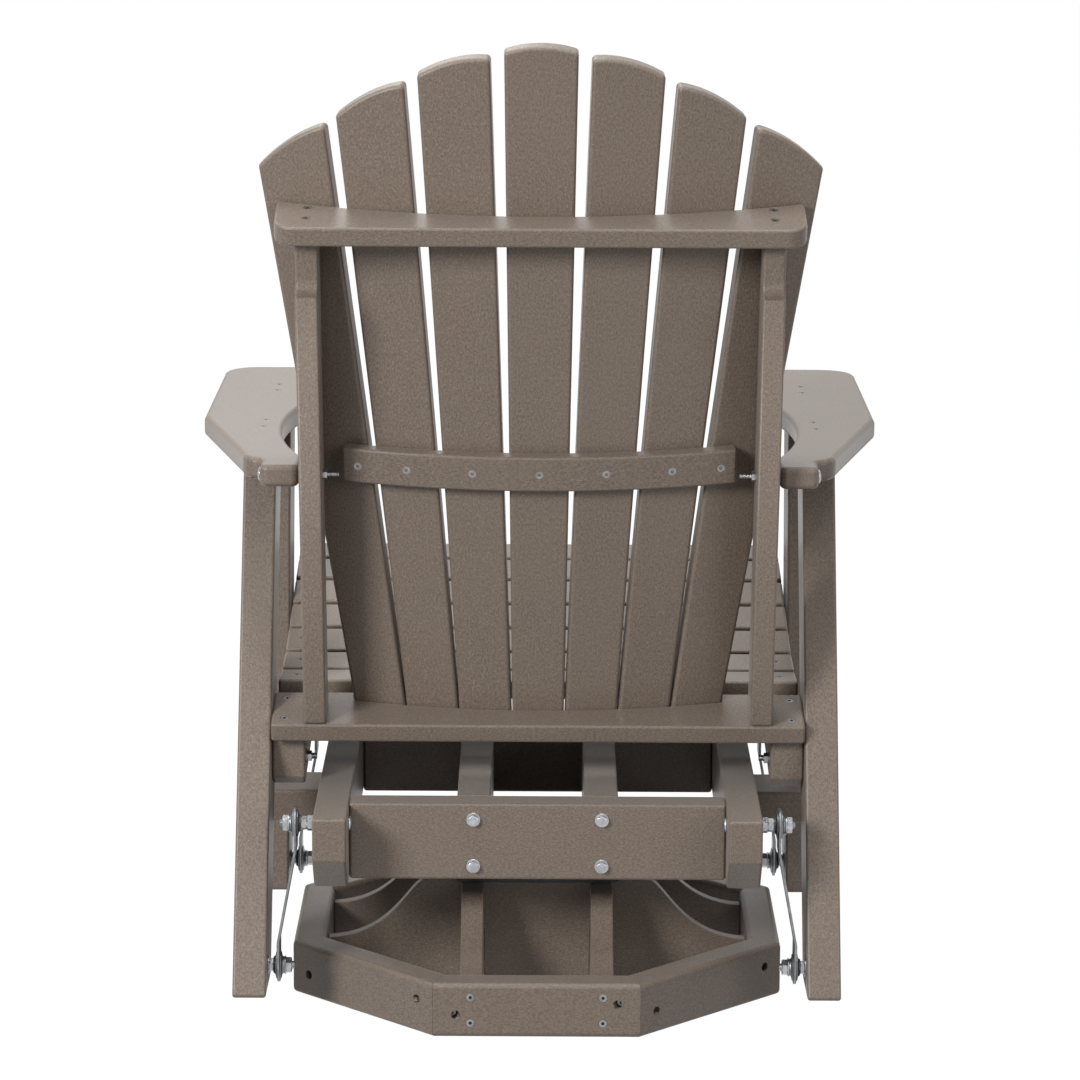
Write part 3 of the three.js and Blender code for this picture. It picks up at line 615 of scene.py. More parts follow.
def nut(across, thickness):
    """A six-sided nut or head: its flats lie at half the width over cos of the angle from the
    nearest flat, and both ends are turned off in a cone."""
    sides = NUT_FLATS * SIDES_PER_FLAT
    corner = math.pi / NUT_FLATS
    off_flat = (spins(sides) + corner) % (2 * corner) - corner
    flats = across / 2 / np.cos(off_flat)
    face = np.full(sides, across / 2 * NUT_FACE)
    chamfer = (flats - face) * math.tan(NUT_CHAMFER)
    height = np.stack([0 * face, chamfer, thickness - chamfer, thickness + 0 * face])
    return turned(np.stack([face, flats, flats, face]), height, sides)


def washer(radius, thickness):
    ease = thickness / 4
    return turned_part([
        (radius - ease, 0), (radius, ease), (radius, thickness - ease), (radius - ease, thickness),
    ])


def rod(radius, reach):
    return turned_part([(radius, 0), (radius, reach)])


def round_head(radius, height):
    """A mushroom head on a low skirt: radius times sin a, and height times cos a above it."""
    bend = np.linspace(math.pi / 2, POLE_ANGLE, HEAD_STEPS)
    level = HEAD_SKIRT + (1 - HEAD_SKIRT) * np.cos(bend)
    dome = np.stack([radius * np.sin(bend), height * level], -1)
    return turned_part(np.concatenate([[(radius * HEAD_FOOT, 0)], dome]))


def thread(radius, reach, pitch):
    """A threaded end: ridges of the pitch with grooves between them, and a turned-off tip."""
    count = max(int(reach / pitch), 1)
    steps = np.arange(2 * count + 1)
    depth = np.where(steps % 2, 0, pitch * THREAD_DEPTH)
    profile = np.stack([radius - depth, steps * reach / (2 * count)], -1)
    profile[-1, 0] = radius - pitch * THREAD_TIP
    return turned_part(profile, FINE_SIDES)


def screw(fix):
    """A flat screw head just under the face at height 0. Its rows are shares of the head's radius
    and sink, then of the drive's. The drive's wall and the two ends have the near-black finish,
    painted shade inside the drive."""
    r, deep, drive = fix.screw_radius, fix.screw_sink, fix.drive_radius
    head = turned_part([
        (r * 0.6, -deep - r * 0.6), (r, -deep - r * 0.08), (r * 0.97, -deep),
        (drive * 1.12, -deep * 0.7), (drive, -deep * 0.9), (drive * 0.86, -deep - drive * 0.9),
    ], FINE_SIDES)
    # The drive's wall and both ends get the near-black painted shade finish
    dark = FINE_SIDES + 2
    head.finishes[-dark:] = [1] * dark
    return head


# Making pieces


def make_piece(name, shell, body, finishes, replaced, by_angle=False):
    """Turns a shell into an object that rides on a body. Boards keep their worked-out normals,
    and hardware is smooth up to an angle."""
    mesh = bpy.data.meshes.new(name)
    mesh.from_pydata(np.concatenate(shell.points).tolist(), [], shell.faces)
    for kind in finishes:
        mesh.materials.append(finish(kind))
    mesh.polygons.foreach_set("material_index", shell.finishes)
    mesh.polygons.foreach_set("use_smooth", [True] * len(shell.faces))
    grain = mesh.attributes.new("grain", "FLOAT_VECTOR", "POINT")
    grain.data.foreach_set("vector", np.concatenate(shell.grain).astype(np.float32).ravel())
    routed = mesh.attributes.new("routed", "FLOAT", "POINT")
    routed.data.foreach_set("value", np.concatenate(shell.routed).astype(np.float32))
    if by_angle:
        mesh.set_sharp_from_angle(angle=SHARP_ANGLE)
    else:
        mesh.normals_split_custom_set(np.concatenate(shell.normals).tolist())
    mesh.update()
    piece = bpy.data.objects.new(name, mesh)
    bpy.context.scene.collection.objects.link(piece)
    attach(piece, body)
    if replaced:
        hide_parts(*replaced)


def lumber_piece(node, body, shell, *place):
    """A board that stands for its node, put in its place if it isn't there yet."""
    if place:
        shell.place(*place)
    make_piece(f"{node}_board", shell, body, ["lumber"], [node])


def hardware(name, body, parts, replaced=(), plating="zinc"):
    """Joins placed parts into one piece of hardware. Its second finish is the painted shade in screw
    drives.
    """
    make_piece(name, parts[0].join(*parts[1:]), body, [plating, "shadow"],
               replaced, by_angle=True)


def sinks(fix, spots):
    """The holes for screws at some spots of a face."""
    return [(x, y, fix.hole_radius, fix.hole_depth, 0) for x, y in spots]


def screws_in(fix, holes, origin, along_x, along_y):
    """A screw for each hole of a face, whose own directions start at an origin on it. In a
    leaning pocket it lies further along and down."""
    outward = np.cross(along_x, along_y)
    parts = []
    for x, y, _, depth, lean in holes:
        along = x + lean * depth * POCKET_SCREW_ALONG
        down = depth * POCKET_SCREW_DOWN if lean else 0
        spot = origin + along_x * along + along_y * y - outward * down
        parts.append(screw(fix).place(spot, along_x, along_y))
    return parts


def on_line(side, y, z, rows):
    """Parts of a bolt that lies across the chair: each row is a part's distance from the middle
    and its shell, which faces outward."""
    return [shell.place(at(side * x, y, z), Y * side, Z) for x, shell in rows]


def at(x, y, z):
    """A place given from the swivel axis, in the row frame."""
    return np.array([x, y + SWIVEL_Y, z])


def side_start(inner, side, thickness):
    """Where a side board starts along X: at its inner face on the left, its outer on the right."""
    return inner if side > 0 else -inner - thickness


def side_board(shape, inner, side, kind, lengthwise=0):
    """A board on edge beside the middle. Its shape is an outline, a thickness and an edge radius,
    and its kind is where it starts in the grain."""
    start = at(side_start(inner, side, shape[1]), 0, 0)
    return board(*shape).place(start, Y, Z, lengthwise, GRAIN[kind] + side)


# Finishes


class Shader:
    """A node tree in the making."""

    def __init__(self, tree):
        self.tree = tree

    def node(self, kind, settings=None, sockets=None, output=0):
        """Adds a node, gives it its settings and then the values or wires of its sockets, and
        returns one of its outputs."""
        made = self.tree.nodes.new(f"ShaderNode{kind}")
        for name, value in (settings or {}).items():
            setattr(made, name, value)
        self.plug(made, sockets or {})
        return Wire(self, made.outputs[output]) if made.outputs else None

    def plug(self, node, sockets):
        """Links wires to a node's sockets, or sets numbers and colours on them."""
        for name, value in sockets.items():
            socket = node.inputs[name]
            if isinstance(value, Wire):
                self.tree.links.new(value.socket, socket)
                continue
            if hasattr(value, "__len__") and len(value) < len(socket.default_value):
                value = (*value, 1)
            socket.default_value = value

    def bump(self, height, strength, distance):
        sockets = {"Height": height, "Strength": strength, "Distance": distance}
        return self.node("Bump", sockets=sockets)


class Wire:
    """A shader socket that takes plain sums and products with others or with numbers."""

    def __init__(self, shader, socket):
        self.shader, self.socket = shader, socket

    def math(self, operation, other):
        return self.shader.node("Math", {"operation": operation}, {0: self, 1: other})

    def __add__(self, other):
        return self.math("ADD", other)

    def __mul__(self, other):
        return self.math("MULTIPLY", other)

    __radd__ = __add__
    __rmul__ = __mul__

    def over(self, low, high):
        """0 below low and 1 above high, with a soft step between."""
        sockets = {"Value": self, "From Min": low, "From Max": high}
        return self.shader.node("MapRange", {"interpolation_type": "SMOOTHSTEP"}, sockets)

    def scaled(self, vector):
        return self.shader.node("VectorMath", {"operation": "MULTIPLY"}, {0: self, 1: vector})

    def noise(self, scale, detail, roughness=0.5):
        sockets = {"Vector": self, "Scale": scale, "Detail": detail, "Roughness": roughness}
        return self.shader.node("TexNoise", sockets=sockets)

    def mix(self, first, second):
        """A colour between two, by this socket's value."""
        sockets = {"Factor": self, 6: first, 7: second}
        return self.shader.node("Mix", {"data_type": "RGBA"}, sockets, 2)


def lumber_finish(shader, colours):
    """Plastic lumber: soft mottle along the board, pale and dark flecks, a pebbled skin, and
    smoother, slightly paler routed edges, the paleness partly a painted highlight on the roundovers."""
    grain = shader.node("Attribute", {"attribute_name": "grain"}, output="Vector")
    routed = shader.node("Attribute", {"attribute_name": "routed"}, output="Fac")
    drawn_out = grain.scaled((0.6, 1, 1))
    cloud = grain.noise(scale=9, detail=2)
    mottle = drawn_out.noise(scale=500, detail=3, roughness=0.62)
    pale = drawn_out.noise(scale=760, detail=2, roughness=0.55)
    dark = grain.scaled((0.7, 1.1, 1)).noise(scale=960, detail=1)
    base = mottle.over(0.34, 0.62).mix(colours.lumber_dark, colours.lumber)
    for mask, share, tint in (
        (cloud.over(0.3, 0.7), 0.25, colours.lumber),
        (pale.over(0.53, 0.7), 0.5, colours.lumber_fleck),
        (dark.over(0.56, 0.74), 0.5, colours.lumber_dark),
        # Routed edges are evened towards the main colour: a smoother machined tone, and partly a
        # painted highlight
        (routed, 0.3, colours.lumber),
    ):
        base = (mask * share).mix(base, tint)
    return {
        "Base Color": base,
        "Roughness": mottle * 0.12 + 0.35 + routed * 0.1,
        "Sheen Weight": 0.25,
        "Sheen Roughness": 0.35,
        "Normal": shader.bump(mottle * 0.7 + pale * 0.5, strength=0.34, distance=0.0005),
    }


def metal_finish(shader, colours, tint, rough, grit):
    """Plated metal: bright, with uneven polish over a roughness and a very fine grit."""
    place = shader.node("TexCoord", output="Object")
    patch = place.noise(scale=140, detail=3)
    fine = place.noise(scale=1600, detail=2)
    bright = getattr(colours, tint)
    worn = [channel * 0.72 for channel in bright]
    return {
        "Base Color": patch.over(0.35, 0.7).mix(worn, bright),
        "Metallic": 1,
        "Roughness": patch * 0.2 + rough,
        "Normal": shader.bump(fine, strength=grit, distance=0.0002),
    }


def dark_finish(shader, colours, tint, rough, level):
    """Black rubber, and the painted shade inside a screw's drive, slightly dusty, at a level of its
    colour.
    """
    dust = shader.node("TexCoord", output="Object").noise(scale=420, detail=2)
    black = [channel * level for channel in getattr(colours, tint)]
    dusty = [channel + 0.03 for channel in black]
    return {
        "Base Color": dust.over(0.4, 0.8).mix(black, dusty),
        "Roughness": dust * 0.2 + rough,
        "Normal": shader.bump(dust, strength=0.2, distance=0.0002),
    }


# Each finish has its material's name, its recipe and the recipe's own values.
FINISHES = {
    "lumber": ("plastic_lumber", lumber_finish),
    "zinc": ("zinc_plate", metal_finish, "zinc", 0.2, 0.15),
    "screw": ("screw_zinc", metal_finish, "screw", 0.3, 0.2),
    "steel": ("link_steel", metal_finish, "steel", 0.3, 0.25),
    # The bearing plates' dark tint is painted shade
    "plate": ("bearing_plate", metal_finish, "plate", 0.5, 0.3),
    "bush": ("black_bush", dark_finish, "bush", 0.45, 1),
    # The shadow finish is painted shade: a near-black colour for the inside of screw drives
    "shadow": ("drive_recess", dark_finish, "bush", 0.6, 0.5),
}
MADE = {}


def finish(kind):
    """A finish, made on its first use: its recipe gives the main shader's sockets."""
    if kind not in MADE:
        name, recipe, *values = FINISHES[kind]
        material = bpy.data.materials.new(name)
        material.use_nodes = True
        shader = Shader(material.node_tree)
        sockets = recipe(shader, bpy.context.scene.glider.finishes, *values)
        shader.plug(material.node_tree.nodes["Principled BSDF"], sockets)
        MADE[kind] = material
    return MADE[kind]


# Outlines


def web_outline(base, lumber, slot_offset, slot_width, slot_from_top):
    """Level on top in the middle, falling in an S to its ends: the cubic (1-t)^3 a + 3 (1-t)^2 t b
    + 3 (1-t) t^2 c + t^3 d, with two slots from above or below where the other webs cross."""
    end = base.ring_apothem - lumber.stud_thickness - lumber.gap
    plateau, low = base.web_plateau_half, base.web_end_height
    run, rise = end - plateau, base.web_top - low
    pulls = np.array([
        (end, low), (plateau + base.foot_share * run, low + base.foot_rise_share * rise),
        (plateau + base.crest_share * run, base.web_top), (plateau, base.web_top),
    ])
    t = np.linspace(0, 1, CURVE_STEPS // 2)[:, None]
    weights = np.hstack([(1 - t) ** 3, 3 * (1 - t) ** 2 * t, 3 * (1 - t) * t**2, t**3])
    fall = weights @ pulls
    half = slot_width / 2 + lumber.gap
    slots = np.array([-slot_offset - half, half - slot_offset, slot_offset - half,
                      slot_offset + half])
    middle = (base.web_top + base.web_lift) / 2
    edge, depth = base.web_lift, middle + lumber.gap / 2
    if slot_from_top:
        edge, depth = base.web_top, middle - lumber.gap / 2
    notches = np.stack([np.repeat(slots, 2), [edge, depth, depth, edge] * 2], -1)
    foot = np.array([(-end, base.web_lift), (end, base.web_lift)])
    upper = [notches[::-1]] if slot_from_top else []
    lower = [] if slot_from_top else [notches]
    points = np.concatenate([foot[:1], *lower, foot[1:], fall, *upper, (fall * [-1, 1])[::-1]])
    across = np.abs(points[:, 0])
    sharp = (across >= end - lumber.gap / 2) | (across <= slots[-1] + lumber.gap)
    return rounded(points, lumber.fine_corner, sharp)


def seat_places(seat):
    """The rear top edge of each seat slat and its tilt: each slat steps forward by its width and
    a gap, along its own slope."""
    tilts = np.array(seat.tilts)
    after = np.append(tilts[1:], tilts[-1])
    run = seat.slat_width * np.cos(tilts) + seat.slat_gap * np.cos((tilts + after) / 2)
    rise = seat.slat_width * np.sin(tilts) + seat.slat_gap * np.sin((tilts + after) / 2)
    y = seat.back - np.append(0, np.cumsum(run)[:-1])
    z = seat.back_height + np.append(0, np.cumsum(rise)[:-1])
    return y, z, tilts


def seat_front(g):
    """The apron's front face, and its top just clear of the front slat."""
    y, z, tilt = (values[-1] for values in seat_places(g.seat))
    plank, width = g.lumber.plank_thickness, g.seat.slat_width
    under = z + width * math.sin(tilt) - plank * math.cos(tilt)
    front = y - width * math.cos(tilt) - plank * math.sin(tilt)
    return front, under - plank * abs(math.tan(tilt)) - g.lumber.gap


def board_depth(back, x):
    """Depth of a curved board at a place across the back: its middle plus the arc's fall."""
    radius = back.curve_radius
    return back.board_middle + radius - np.sqrt(radius**2 - np.square(x))


def hollow(back, reach):
    """The front edge of a curved board, from one side to the other."""
    x = np.linspace(-reach, reach, CURVE_STEPS)
    return np.stack([x, -board_depth(back, x)], -1)


def seat_rail_outline(g):
    """Follows the underside of the slats, with a tilted rear end under the lower back board."""
    seat, back, lumber = g.seat, g.back, g.lumber
    under = lumber.plank_thickness + lumber.gap
    tilt = back.recline
    y, z, tilts = seat_places(seat)
    front = seat_front(g)[0] + under
    foot_y = back.foot_back - under * math.sin(tilt)
    foot_z = back.foot_height - under * math.cos(tilt)
    board_front = (y[0] + back.foot_back - board_depth(back, seat.half_length)) / 2
    ends = np.array([seat.rail_back, board_front])
    tilted = np.stack([ends, foot_z + (foot_y - ends) * math.tan(tilt)], -1)
    top_y, top_z = y - under * np.sin(tilts), z - under * np.cos(tilts)
    run = np.minimum(seat.slat_width * np.cos(tilts), top_y - front)
    steps = np.stack([top_y, top_z, top_y - run, top_z + run * np.tan(tilts)], -1).reshape(-1, 2)
    foot = np.array([
        (front, seat.rail_front_foot), (seat.rail_back - seat.rail_chamfer, seat.rail_foot),
        (seat.rail_back, seat.rail_foot + seat.rail_chamfer),
    ])
    corners = np.arange(len(foot) + 1)
    return rounded(np.concatenate([foot, tilted, steps]), lumber.corner_round, corners)


def arm_outline(arms, side):
    """A paddle with a scooped inner edge, an arc of radius (h^2 + d^2) / 2d, tapering to a
    narrow tongue beside the post."""
    half, depth = arms.scallop_half, arms.scallop_depth
    radius = (half**2 + depth**2) / 2 / depth
    reach = math.asin(half / radius)
    bend = np.linspace(-reach, reach, CURVE_STEPS)[::-1]
    scoop = np.stack([arms.inner + depth - radius + radius * np.cos(bend),
                      arms.scallop_middle + radius * np.sin(bend)], -1)
    tongue = arms.inner + arms.tongue_width
    rows = (
        (tongue, arms.back, arms.tongue_corner), (arms.inner, arms.back, arms.tongue_corner),
        *((x, y, 0) for x, y in scoop),
        (arms.inner, arms.front, arms.small_corner), (arms.outer, arms.front, arms.corner),
        (arms.outer, arms.taper_start, arms.small_corner * 2),
        (arms.taper_outer, arms.taper_end, 0),
        (arms.taper_outer, arms.tongue_start, arms.taper_corner),
        (tongue, arms.tongue_start, arms.tongue_fillet),
    )
    rows = np.array(rows)[::side]
    return eased(rows[:, :2] * [side, 1], rows[:, 2])


def top_rail_outline(back, lumber):
    """A board with a straight rear edge and a hollow front edge on the back's arc."""
    half = back.top_half
    points = np.concatenate([[(half, 0), (-half, 0)], hollow(back, half)])
    radii = np.zeros(len(points))
    radii[:2] = back.top_corner
    radii[[2, -1]] = lumber.corner_round
    return eased(points, radii)


def lower_board_outline(back, lumber):
    """The same arc under the slats, with the full depth past them."""
    half, deep = back.lower_half, back.lower_end_depth
    across = slat_place(back, lumber, END_SLAT)[0][0]
    reach = across + back.foot_width / 2 + back.lower_end_gap
    end = reach + back.lower_end_slope
    points = np.concatenate([
        [(half, 0), (-half, 0), (-half, -deep), (-end, -deep)], hollow(back, reach),
        [(end, -deep), (half, -deep)],
    ])
    return rounded(points, lumber.corner_round, [0, 1, 2, -1])


def post_outline(back, lumber):
    """A post with a quarter-round shoulder: the quadratic through its step near the top."""
    t = np.linspace(0, 1, SHOULDER_STEPS)[:, None]
    step, level, top = -back.post_step, back.post_shoulder, back.post_length
    foot, pull, end = np.array([(0, level), (step, level), (step, level - step)])
    shoulder = (1 - t) ** 2 * foot + 2 * (1 - t) * t * pull + t**2 * end
    points = np.concatenate([
        [(-lumber.post_depth, lumber.gap), (0, lumber.gap)], shoulder,
        [(step, top), (-lumber.post_depth, top)],
    ])
    return rounded(points, lumber.corner_round, [0, 1, -2, -1])


def slat_slopes(back, index):
    """How a slat's right and left edge flare: the end slats' outer edges flare more."""
    flares = np.array([1, -1]) * index == END_SLAT
    return np.tan(np.where(flares, back.end_taper, back.taper))


def slat_outline(back, lumber, index):
    """A slat that widens upward and fans out. Its outer corner lies on the arch peak - fall
    (1 - cos(x / reach)), the inner one lower, and its top is a quadratic with a crown."""
    slope = slat_slopes(back, index)
    ways = np.array([1.0, -1.0])
    half = back.foot_width / 2
    rise = np.full(2, back.arch_peak)
    for _ in range(ARCH_PASSES):
        tops = np.stack([ways * (half + slope * rise), rise], -1)
        spots = turned_by(tops, np.full(2, -index * back.fan))
        across = (spots[:, 0] + index * back.foot_pitch) / back.arch_reach
        arch = back.arch_peak + back.slat_drop - back.arch_fall * (1 - np.cos(across))
        rise = rise + arch - spots[:, 1]
    rise = rise - np.where(ways * index < 0, back.inner_drop, 0)
    tops = np.stack([ways * (half + slope * rise), rise], -1)
    inside = np.linspace(CROWN_START, 1 - CROWN_START, CURVE_STEPS // 2)
    t = np.concatenate([[0], inside, [1]])[:, None]
    pull = tops.mean(0) + [0, 2 * back.crown]
    crown = (1 - t) ** 2 * tops[0] + 2 * (1 - t) * t * pull + t**2 * tops[1]
    points = np.concatenate([[(-half, 0), (half, 0)], crown])
    return rounded(points, lumber.bold_corner, [0, 1, 2, -1])


def slat_place(back, lumber, index):
    """Where a slat's rear face stands: it meets both curved boards with its edges."""
    plank = lumber.plank_thickness
    levels = np.array([-plank / 2, back.post_length + lumber.gap + plank / 2])
    rise = levels + back.slat_drop
    across = index * (back.foot_pitch + math.tan(back.fan) * rise)
    turn = across.mean() / back.curve_radius
    flare = slat_slopes(back, index)[:, None] * rise
    ways = np.array([1, -1])[:, None] * (back.foot_width / 2 + flare)
    depths = (board_depth(back, across + ways) - ways * math.tan(turn)).max(0) + lumber.gap
    return across, turn, depths, levels


def batten_radius(back, lumber):
    """The tightest arc that none of the slats crosses: (x^2 + s^2) / 2s over their edges."""
    front = back.board_middle + lumber.gap / 2
    rise = back.batten_level + back.slat_drop
    radii = []
    for index in range(1, END_SLAT + 1):
        _, turn, depths, levels = slat_place(back, lumber, index)
        middle = index * (back.foot_pitch + math.tan(back.fan) * rise)
        half = (back.foot_width / 2 + slat_slopes(back, index) * rise) * np.array([1, -1])
        lean = (depths[1] - depths[0]) / (levels[1] - levels[0])
        depth = depths[0] + lean * (back.batten_level - levels[0]) + half * math.tan(turn)
        sag = depth - front - lumber.gap
        radii.append(((middle + half) ** 2 + sag**2) / 2 / sag)
    return float(np.max(radii)), front


# Operators


def ring_board(g, holes):
    """A ring board on edge: its rounded section in radius and height, carried between the two
    mitre planes at plus and minus the radius times tan of an eighth of a turn, halved."""
    base, lumber = g.base, g.lumber
    inner, outer, top = base.ring_apothem - lumber.stud_thickness, base.ring_apothem, base.ring_height
    points, outward = eased([(outer, top), (inner, top), (inner, 0), (outer, 0)], base.ring_round)
    mitre = math.pi / len(RING_BOARDS)
    slope = math.tan(mitre)
    reach = points[:, 0] * slope - lumber.gap / 2 / math.cos(mitre)
    rows = np.array([1, -1])[:, None] * reach
    grid = np.stack(np.broadcast_arrays(rows, points[:, 1], points[:, 0]), -1)
    normals = np.zeros(grid.shape)
    normals[..., 1:] = outward[:, ::-1]
    routed = np.abs(np.prod(outward, axis=1)) * 2
    shell = Shell()
    numbers = shell.add_grid(grid, normals, around=False, routed=routed[None])
    shell.add_faces(numbers[:1, ::-1], unit(np.array([1, 0, -slope])))
    shell.add_faces(numbers[1:], unit(np.array([-1, 0, -slope])))
    corners = ([1, 0, 0, 1], [-1, -1, 0, 0])
    cut_face(shell, grid[corners][:, :2], numbers[corners], outer, holes)
    return shell


class GLIDER_OT_floor_ring(bpy.types.Operator):
    """Eight mitred boards on edge, with pocket holes and the screws that hold the webs"""

    bl_idname = "glider.floor_ring"
    bl_label = "Floor ring"

    def execute(self, context):
        g = context.scene.glider
        base, fix = g.base, g.fixings
        for number, name in enumerate(RING_BOARDS):
            spin = number * 2 * math.pi / len(RING_BOARDS)
            outward = np.array([math.cos(spin), math.sin(spin), 0])
            along = np.array([-math.sin(spin), math.cos(spin), 0])
            holes = [(x, base.ring_height * level, fix.pocket_radius, fix.pocket_depth, lean)
                     for x, level, lean in POCKETS]
            if number % 2 == 0:
                offset = base.long_web_offset if number % 4 else base.cross_web_offset
                holes += sinks(fix, [(way * offset, base.ring_height * level)
                                     for way in (-1, 1) for level in WEB_SCREW_LEVELS])
            lumber_piece(f"ring_board_{name}", "base", ring_board(g, holes),
                         at(0, 0, 0), along, Z, 0, GRAIN["ring"] + number)
            face = at(0, 0, 0) + outward * base.ring_apothem
            screws = screws_in(fix, holes, face, along, Z)
            hardware(f"ring_screws_{name}", "base", screws, plating="screw")
        return {"FINISHED"}


class GLIDER_OT_webs(bpy.types.Operator):
    """Two pairs of half-lapped webs that fall in an S from the bearing to the ring"""

    bl_idname = "glider.webs"
    bl_label = "Crossed webs"

    def execute(self, context):
        g = context.scene.glider
        base, lumber = g.base, g.lumber
        long, cross = base.long_web_thickness, base.cross_web_thickness
        long_shape = web_outline(base, lumber, base.cross_web_offset, cross, True)
        cross_shape = web_outline(base, lumber, base.long_web_offset, long, False)
        for name, side in SIDES:
            start = at(side * base.long_web_offset - long / 2, 0, 0)
            lumber_piece(f"base_web_{name}", "base", board(long_shape, long, lumber.fine_round),
                         start, Y, Z, 0, GRAIN["long_web"] + side)
        for name, end in ENDS:
            start = at(0, end * base.cross_web_offset + cross / 2, 0)
            lumber_piece(f"base_web_{name}", "base", board(cross_shape, cross, lumber.fine_round),
                         start, X, Z, 0, GRAIN["cross_web"] + end)
        return {"FINISHED"}


class GLIDER_OT_bearing(bpy.types.Operator):
    """Dull dark grey metal on the two bearing plates, painted shade for the strip under the frame"""

    bl_idname = "glider.bearing"
    bl_label = "Turntable bearing"

    def execute(self, context):
        for name in ("bearing_lower_plate", "bearing_upper_plate"):
            mesh = frame["nodes"][name].data
            mesh.materials.clear()
            mesh.materials.append(finish("plate"))
        return {"FINISHED"}


class GLIDER_OT_box_frame(bpy.types.Operator):
    """Side rails with stop blocks, inner rails and cross boards with their bolts"""

    bl_idname = "glider.box_frame"
    bl_label = "Box frame"

    def execute(self, context):
        g = context.scene.glider
        box, lumber, fix = g.frame, g.lumber, g.fixings
        stud, width, r = lumber.stud_thickness, lumber.stud_width, lumber.edge_round
        thin = g.links.washer_thickness
        foot, top, toe = box.foot, box.foot + width, box.foot + box.end_chamfer
        end, inset = box.half_length, box.half_length - box.end_chamfer
        reach, half = box.cross_outer - stud - lumber.gap, box.inner_half - lumber.gap
        rail, inner, cross, block = (eased(points, lumber.corner_round) for points in (
            [(-inset, foot), (inset, foot), (end, toe), (end, top), (-end, top), (-end, toe)],
            rectangle(-reach, foot, reach, top),
            rectangle(-half, foot, half, top),
            rectangle(box.block_middle - width / 2, foot, box.block_middle + width / 2, foot + stud),
        ))
        block_inner = box.inner_half + stud - r
        block_length = box.block_reach - block_inner
        for name, side in SIDES:
            shell = side_board((rail, stud, r), box.inner_half, side, "side_rail")
            shell.join(side_board((block, block_length, r), block_inner, side, "stop_block"))
            lumber_piece(f"frame_side_rail_{name}", "turntable", shell)
            start = at(side * box.inner_rail_offset - stud / 2, 0, 0)
            lumber_piece(f"frame_inner_rail_{name}", "turntable", board(inner, stud, r),
                         start, Y, Z, 0, GRAIN["inner_rail"] + side)
        for name, way in ENDS:
            back = box.cross_outer if way > 0 else stud - box.cross_outer
            lumber_piece(f"frame_cross_board_{name}", "turntable", board(cross, stud, r),
                         at(0, back, 0), X, Z, 0, GRAIN["cross_board"] + way)
            parts = []
            for x in (-box.inner_rail_offset, box.inner_rail_offset):
                for level in FRAME_BOLT_LEVELS:
                    spot = at(x, way * box.cross_outer, foot + width * level)
                    for out, part in ((0, washer(fix.frame_washer_radius, thin)),
                                      (thin, nut(fix.frame_bolt_across, fix.frame_bolt_height))):
                        parts.append(part.place(spot + Y * way * out, X * -way, Z))
            hardware(f"frame_bolts_{name}", "turntable", parts)
        return {"FINISHED"}


def link_bar(links):
    """The flat bar: a line that runs down, across and down again with two round bends, and a
    width that follows a half circle at each end: sqrt(r^2 - d^2) at d from the pivot."""
    half = links.width / 2
    drop = links.lower_plane - links.upper_plane
    fall = links.link_length - 2 * links.straight
    lean = math.atan2(drop, fall)
    slant = math.hypot(drop, fall)
    cut = links.bend_radius * math.tan(lean / 2)
    straight, bent = half + links.straight - cut, links.bend_radius * lean
    marks = np.append(0, np.cumsum([straight, bent, slant - 2 * cut, bent, straight]))
    total = marks[-1]
    tip = half * (1 - np.cos(np.linspace(POLE_ANGLE, math.pi / 2, TIP_STEPS)))
    bends = [np.linspace(*marks[k:k + 2], BEND_STEPS) for k in (1, 3)]
    s = np.unique(np.concatenate([tip, *bends, total - tip]))
    headings = [0, 0, lean, lean, 0, 0]
    fine = np.linspace(0, total, LINE_STEPS)
    turning = np.interp(fine, marks, headings)[:-1]
    x_line = np.append(0, np.cumsum(np.sin(turning) * fine[1]))
    z_line = half - np.append(0, np.cumsum(np.cos(turning) * fine[1]))
    x, z = (np.interp(s, fine, line)[:, None] for line in (x_line, z_line))
    from_end = np.minimum(s, total - s)
    wide = np.where(from_end < half, np.sqrt(np.maximum(half**2 - (half - from_end) ** 2, 0)), half)
    thick = links.thickness / 2
    ease = links.thickness * BAR_EASE
    narrow, thin = wide - ease, thick - ease
    across = np.stack([-wide, -narrow, narrow, wide, wide, narrow, -narrow, -wide], -1)
    off = np.array([-thin, -thick, -thick, -thin, thin, thick, thick, thin])
    heading = np.interp(s, marks, headings)[:, None]
    points = np.stack([x + off * np.cos(heading), across, z + off * np.sin(heading)], -1)
    return closed(points[:, ::-1])


def cup(links, way):
    """A pressed cup on one face of a link: a flat flange, a domed shoulder and a flat hub round
    a black bush, from the bar's face outward. Its rows are shares of its radii and depth."""
    r, hub, depth, bush = links.cup_radius, links.hub_radius, links.cup_depth, links.bush_radius
    shoulder = np.linspace(0, math.pi / 2, CUP_STEPS)
    dome = np.stack([hub + (r - hub) * 0.72 * (1 - np.sin(shoulder)),
                     depth * (0.38 + 0.62 * (1 - np.cos(shoulder)))], -1)
    plate = turned_part(np.concatenate([
        [(r * 0.97, 0), (r, depth * 0.12), (r, depth * 0.26), (r * 0.97, depth * 0.34)], dome,
        [(bush * 1.04, depth), (bush, depth * 0.96)]]))
    black = turned_part([(bush, depth * 0.5), (bush, depth * 0.98), (bush * 0.94, depth * 1.04)])
    black.finishes = [1] * len(black.faces)
    for part in (plate, black):
        part.place(X * way * links.thickness / 2, Y, np.cross(X * way, Y))
    return plate.join(black)


